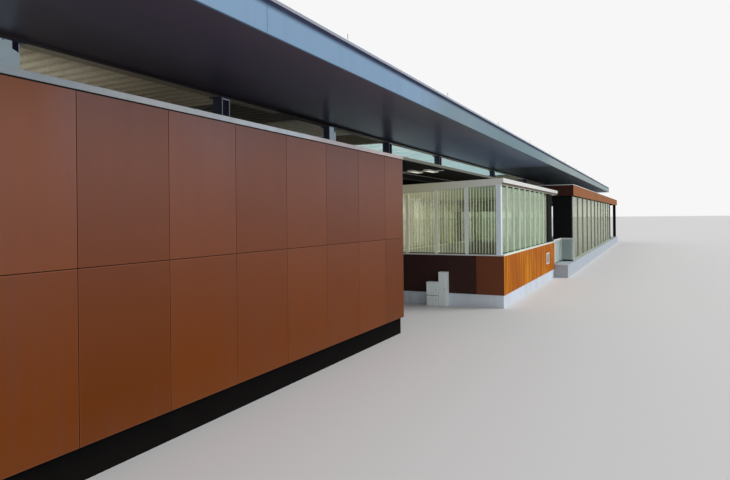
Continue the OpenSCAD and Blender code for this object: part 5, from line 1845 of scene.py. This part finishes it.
@dataclass
class WaitingBox(Assembly):
    """The glazed waiting box: joint tapes, lines on the glass, beads, slots, strips, drips and a plate."""

    line_pitch: float = 0.045
    line_w: float = 0.0055
    line_t: float = 0.0012
    post_w: float = 0.045
    corner_w: float = 0.075
    glass_t: float = 0.01
    glaze_in: float = 0.05
    pier_l: float = 0.545
    post_pitch: float = 0.5
    sill_t: float = 0.014
    nose_in: float = 0.02
    nose_h: float = 0.06
    slope: float = math.tan(math.radians(3.2))
    slot: tuple[float, float, float] = (0.25, 0.012, 0.018)

    def __post_init__(self) -> None:
        """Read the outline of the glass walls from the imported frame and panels."""
        low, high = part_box("box_frame")
        self.low = low + Vector((self.glaze_in, self.glaze_in, 0.0))
        self.high = Vector((BOX_HIGH.x, high.y - self.glaze_in, high.z))
        self.sill = BOX_HIGH.z + self.sill_t
        self.set_back = (self.post_w - self.glass_t) / 2
        self.pier = BOX_HIGH.x - self.pier_l

    def head(self, y: np.ndarray) -> np.ndarray:
        """Give the height of the glass's head, which falls towards the rear."""
        return self.high.z - (y - self.low.y) * self.slope

    def joint_tapes(self) -> None:
        """Close the open joints of the parapet."""
        levels = (BOX_LOW.z, BOX_HIGH.z)
        x, y = (BOX_LOW.x, BOX_HIGH.x), (BOX_LOW.y, BOX_HIGH.y)
        sides = ((Side.FRONT, y[0], x), (Side.REAR, y[1], x), (Side.NEAR, x[0], y))
        tapes = Surface.join([CladFace(*side, levels, BOX_PANEL_W).tapes() for side in sides])
        self.piece("parapet_joint_tapes", tapes, "joint_tape", "black_base")

    def glass_lines(self) -> None:
        """Draw the upright white lines on the outer face of the glass."""
        half, lift, foot, stop = self.line_w / 2, self.line_t, self.sill + 0.01, 0.012
        y = steps_between(self.low.y + self.corner_w, self.high.y - self.corner_w, self.line_pitch)
        x0 = self.low.x + self.set_back - lift
        corner = np.stack([np.full_like(y, x0), y - half, np.full_like(y, foot)], axis=1)
        other = np.stack([np.full_like(y, x0 + lift), y + half, self.head(y) - stop], axis=1)
        self.piece("box_near_lines", boxes(corner, other), "white_line", "white_metal")
        for name, y0, pitch in (("box_track_lines", self.low.y + self.set_back - lift, self.line_pitch),
                                ("box_rear_lines", self.high.y - self.set_back, 2 * self.line_pitch)):
            x = steps_between(self.low.x + self.corner_w, self.pier, pitch)
            size = (2 * half, lift, self.head(y0 + lift) - stop - foot)
            lines = equal_boxes(x - half, [y0], [foot], size)
            self.piece(name, lines, "sunny_line", "white_metal")

    def beads(self) -> None:
        """Run glazing beads along the sill in front of the glass of all three sides."""
        x0, y0, y1 = self.low.x + self.set_back, self.low.y + self.set_back, self.high.y - self.set_back
        start, inset, side, foot, bevel = x0 + 0.06, 0.07, 0.012, self.sill, 0.002
        top = foot + side
        parts = [soft_boxes([start, y0 - side, foot], [self.pier, y0, top], bevel),
                 soft_boxes([start, y1, foot], [self.pier - self.post_w, y1 + side, top], bevel),
                 soft_boxes([x0 - side, y0 + inset, foot], [x0, y1 - inset, top], bevel)]
        self.piece("box_glazing_beads", Surface.join(parts), "rubber", "black_steel")

    def head_slots(self) -> None:
        """Hang a long dark vent slot under the roof over each bay of the front's glass."""
        count = math.ceil((self.pier - self.low.x) / self.post_pitch - ROUNDING)
        pitch = (self.pier - self.low.x) / count
        long, deep, tall = self.slot
        y = self.low.y + self.set_back
        slot = soft_boxes([-long / 2, -deep, -tall], [long / 2, 0.0, -CLEAR], 0.002)
        places = cells(self.low.x + (np.arange(count) + 0.5) * pitch, [y], [self.head(y)])
        self.piece("box_head_slots", slot.tiled(places), "rubber", "black_steel")

    def nose_shade_strip(self) -> None:
        """Paint the shade in the recess under the roof's nose with a thin brownish strip."""
        low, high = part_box("box_roof")
        y, gap = low.y + self.nose_in, 0.001
        strip = boxes([low.x + gap, y - 0.0015, self.head(y) + gap],
                      [high.x - gap, y - 0.0002, high.z - self.nose_h - gap])
        self.piece("box_nose_shade_strip", strip, "nose_shade_strip", "white_metal")

    def roof_trims(self) -> None:
        """Fold a thin drip edge along the lower edge of the roof's nose and of its near face."""
        low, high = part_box("box_roof")
        nose = high.z - self.nose_h
        drip = [[-0.018, -0.0015], [0.003, -0.003], [0.0035, 0.0], [0.001, 0.002], [-0.018, 0.0]]
        parts = [swept(drip, [[low.x, low.y, nose], [high.x, low.y, nose]], False)]
        front, back = low.y + self.nose_in, high.y
        path = [[low.x, back, self.head(back)], [low.x, front, self.head(front)]]
        parts.append(swept(drip, path, False))
        self.piece("box_roof_drips", Surface.join(parts), "white_metal", "white_metal")

    def sill_drips(self) -> None:
        """Let a folded lip hang from the outer edge of the sill."""
        lip = [[-0.004, -0.0148], [0.007, -0.018], [0.0085, -0.017], [0.008, 0.0], [-0.004, 0.0015]]
        path = [[BOX_LOW.x, BOX_HIGH.y, self.sill], [BOX_LOW.x, BOX_LOW.y, self.sill],
                [BOX_HIGH.x, BOX_LOW.y, self.sill]]
        self.piece("box_sill_drips", swept(lip, path, False), "white_metal", "white_metal")

    def blank_plate(self) -> None:
        """Fix a blank plate to the parapet near the open end."""
        left, right, foot, top = BOX_HIGH.x - 1.05, BOX_HIGH.x - 0.69, 0.36, 0.585
        wall, face, front = BOX_LOW.y, BOX_LOW.y - 0.004, BOX_LOW.y - 0.006
        rim = soft_boxes([left, face, foot], [right, wall, top], 0.0015)
        self.piece("box_blank_plate", rim, "white_metal", "cabinet")
        field = soft_boxes([left + 0.03, front, foot + 0.02], [right - 0.03, face, top - 0.02], 0.0008)
        self.piece("box_blank_field", field, "zinc", "cabinet")

    def build(self) -> None:
        """Build and dress everything on the waiting box."""
        self.joint_tapes()
        self.glass_lines()
        self.beads()
        self.head_slots()
        self.nose_shade_strip()
        self.roof_trims()
        self.sill_drips()
        self.blank_plate()


@dataclass
class ServiceCabinets(Assembly):
    """Two plain cabinets in front of the waiting box: doors, lids, locks and a joint."""

    low_h: float = 0.35
    tall_w: float = 0.12
    low_w: float = 0.18
    split: float = 0.155
    door_t: float = 0.003
    door_gap: float = 0.008
    door_foot: float = 0.03
    door_head: float = 0.02
    lid_t: float = 0.006
    lock_in: float = 0.022

    def build(self) -> None:
        """Add doors, lids with a small overhang and round locks, and the low cabinet's dark joint."""
        low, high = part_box("service_cabinets")
        tall = (low.y, low.y + self.tall_w)
        short = (high.y - self.low_w, high.y)
        face, front = low.x, low.x - self.door_t
        foot, gap, lid, over = self.door_foot, self.door_gap, self.lid_t, 0.001
        doors, lids, locks = [], [], []
        for (left, right), top, joints in ((tall, high.z, ()), (short, self.low_h, (self.split,))):
            stops = [foot, *(joint + way * gap for joint in joints for way in (-1, 1)), top - self.door_head]
            for start, end in zip(stops[::2], stops[1::2]):
                doors.append([[front, left + gap, start], [face, right - gap, end]])
                locks.append([front, left + self.lock_in, (start + end) / 2])
            lids.append([[face - lid, left - over, top], [high.x - 0.002, right + over, top + lid]])
        doors, lids = np.array(doors), np.array(lids)
        parts = [soft_boxes(doors[:, 0], doors[:, 1], 0.0012), soft_boxes(lids[:, 0], lids[:, 1], 0.0015)]
        self.piece("cabinet_doors", Surface.join(parts), "cabinet", "cabinet")
        lock = revolved([[0.007, 0.0], [0.007, 0.003], [0.005, 0.004]], 16).turned("Y", -90)
        self.piece("cabinet_locks", lock.tiled(locks), "zinc", "pale_metal")
        joint = boxes([face - 0.001, short[0], self.split - 0.003], [face, short[1], self.split + 0.003])
        self.piece("cabinet_joint", joint, "rubber", "black_steel")


@dataclass
class Balustrade(Assembly):
    """Fittings of the glass balustrade: post feet and glass clamps."""

    post: float = 0.025
    foot: FootPlate = FootPlate(0.03, 0.005, 0.0015, 0.022, (0.0035, 0.004))
    clamp_off: float = 0.024
    clamp_in: float = 0.09

    def build(self) -> None:
        """Stand each post on a bolted plate and hold the glass with clamps."""
        low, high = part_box("balustrade_posts")
        half, off = self.post / 2, self.clamp_off
        y, first, middle, last = high.y - half, low.x + half, (low.x + high.x) / 2, high.x - half
        feet = [[x, y, low.z] for x in (first, middle, last)] + [[last, low.y + half, low.z]]
        clamp = soft_boxes([-0.012, -0.01, -0.012], [0.012, 0.01, 0.012], 0.002)
        levels = [low.z + self.clamp_in, high.z - self.clamp_in]
        clamps = clamp.tiled(cells([first + off, middle - off, middle + off, last - off], [y], levels))
        self.piece("balustrade_fittings", Surface.join([self.foot.stood(feet), clamps]), "zinc", "pale_metal")


@dataclass
class Hall(Assembly):
    """The open hall: joints in its fascia, lines on its glass and feet under its columns."""

    fascia_pitch: float = HALL_PANEL_W
    line_pitch: float = 0.11
    line_w: float = 0.005
    line_t: float = 0.0012
    inner_bays: tuple[int, ...] = (9, 11, 13, 15)

    def fascia_joints(self) -> None:
        """Draw the upright joints of the fascia's panels as thin dark strips."""
        low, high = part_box("hall_fascia")
        proud, deep, half = 0.0006, 0.001, 0.0018
        x = np.arange(low.x + self.fascia_pitch, high.x - END_LEFT, self.fascia_pitch) - half
        y = np.arange(low.y + self.fascia_pitch, high.y - END_LEFT, self.fascia_pitch) - half
        thick, tall, foot = proud + deep, high.z - low.z - 2 * deep, [low.z + deep]
        parts = [equal_boxes(x, [low.y - proud, high.y - deep], foot, (2 * half, thick, tall)),
                 equal_boxes([low.x - proud, high.x - deep], y, foot, (thick, 2 * half, tall))]
        self.piece("hall_fascia_joints", Surface.join(parts), "joint_tape", "black_base")

    def glass_lines(self) -> None:
        """Draw the upright white lines on the outer face of both screens."""
        low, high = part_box("hall_screen_glass")
        x = steps_between(low.x, high.x, self.line_pitch) - self.line_w / 2
        lift, stop = self.line_t, 0.005
        size = (self.line_w, lift, high.z - low.z - 2 * stop)
        lines = equal_boxes(x, [low.y - lift, high.y], [low.z + stop], size)
        self.piece("hall_glass_lines", lines, "sunny_line", "white_metal")

    def column_feet(self) -> None:
        """Bolt a plate under each inner column of the hall."""
        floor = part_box("platform_floor")[1].z
        places = cells([GRID.station(bay) for bay in self.inner_bays], GRID.rows, [floor])
        self.piece("hall_column_feet", FootPlate().stood(places), "black_steel", "black_steel")

    def build(self) -> None:
        """Build and dress everything on the hall."""
        self.fascia_joints()
        self.glass_lines()
        self.column_feet()


@dataclass(frozen=True)
class Studio:
    """Floor, light and camera.

    Attributes:
        eye: Place of the camera.
        heading: Turn of the view from +X towards +Y, in degrees.
        roll: Turn of the picture against the clock, in degrees.
        lens: Focal length for a sensor 36 mm wide.
        shift: Upward shift of the view, as a share of the width.
        ambient: Strength of the world's even light.
        backdrop: Brightness of the background.
        sun: Strength of the soft key light.
        sun_from: Heading that the key light comes from, and its height, in degrees.
        sun_size: Apparent size of the key light in degrees.
        floor_reach: Half of the floor's side.
        floor_tone: Linear brightness of the floor.
    """

    eye: tuple[float, float, float] = (-14.7375, -4.565, 1.35)
    heading: float = 26.64
    roll: float = 0.573
    lens: float = 28.6
    shift: float = -0.0314
    ambient: float = 0.58
    backdrop: float = 0.93
    sun: float = 1.7
    sun_from: tuple[float, float] = (-62.0, 30.0)
    sun_size: float = 35.0
    floor_reach: float = 400.0
    floor_tone: float = 0.72

    def camera(self) -> None:
        """Place the camera: forward by the heading, right and up turned by the roll."""
        turn, roll = math.radians(self.heading), math.radians(self.roll)
        forward = Vector((math.cos(turn), math.sin(turn), 0.0))
        side = Vector((math.sin(turn), -math.cos(turn), 0.0))
        rise = Vector((0.0, 0.0, 1.0))
        right = math.cos(roll) * side - math.sin(roll) * rise
        up = math.sin(roll) * side + math.cos(roll) * rise
        data = bpy.data.cameras.new("camera")
        data.lens = self.lens
        data.sensor_width = 36.0
        data.shift_y = self.shift
        data.clip_start, data.clip_end = 0.05, 1000.0
        matrix = Matrix((right, up, -forward)).transposed().to_4x4()
        matrix.translation = Vector(self.eye)
        camera = add_object("camera", data)
        camera.matrix_world = matrix
        bpy.context.scene.camera = camera

    def world(self) -> None:
        """Light the object evenly, and show a pale background to the camera, to gloss and through glass."""
        world = bpy.data.worlds.new("studio")
        world.use_nodes = True
        nodes = Nodes(world.node_tree)
        world.node_tree.nodes.clear()
        path = nodes.add("ShaderNodeLightPath").outputs
        seen = nodes.math("MAXIMUM", nodes.math("MAXIMUM", path["Is Camera Ray"], path["Is Glossy Ray"]),
                          path["Is Transmission Ray"])
        mix, output = nodes.add("ShaderNodeMixShader"), nodes.add("ShaderNodeOutputWorld")
        nodes.put(seen, mix.inputs[0])
        for number, strength in ((1, self.ambient), (2, self.backdrop)):
            back = nodes.add("ShaderNodeBackground")
            nodes.fill(back, {"Color": WHITE, "Strength": strength})
            nodes.put(back.outputs[0], mix.inputs[number])
        nodes.put(mix.outputs[0], output.inputs[0])
        bpy.context.scene.world = world

    def key_light(self) -> None:
        """Hang one large soft light in front of the building."""
        data = bpy.data.lights.new("key", "SUN")
        data.energy = self.sun
        data.angle = math.radians(self.sun_size)
        light = add_object("key", data)
        turn, height = (math.radians(value) for value in self.sun_from)
        flat = math.cos(height)
        source = Vector((math.cos(turn) * flat, math.sin(turn) * flat, math.sin(height)))
        light.rotation_mode = "QUATERNION"
        light.rotation_quaternion = source.to_track_quat("Z", "Y")

    def floor(self) -> None:
        """Lay a plain pale floor under the building."""
        span = (-self.floor_reach, self.floor_reach)
        mesh = bpy.data.meshes.new("floor")
        mesh.from_pydata(rectangle(span, span, GROUND).tolist(), [], [[0, 1, 2, 3]])
        material, nodes, shader = start_material("floor")
        nodes.fill(shader, {"Base Color": (self.floor_tone,) * 3, "Roughness": 0.9})
        mesh.materials.append(material)
        floor = add_object("floor", mesh)

    def build(self) -> None:
        """Set up the view, the light and the floor."""
        bpy.context.scene.view_settings.view_transform = "Standard"
        self.camera()
        self.world()
        self.key_light()
        self.floor()


def main() -> None:
    """Build the sub-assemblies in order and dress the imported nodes."""
    logging.basicConfig(level=logging.INFO, format="%(name)s: %(message)s")
    paint = Paintbox()
    paint.dress_nodes()
    for part in (OfficeBlock, Concourse, MainRoof, WaitingBox, ServiceCabinets, Balustrade, Hall):
        part(paint).build()
    Studio().build()


if __name__ == "__main__":
    main()
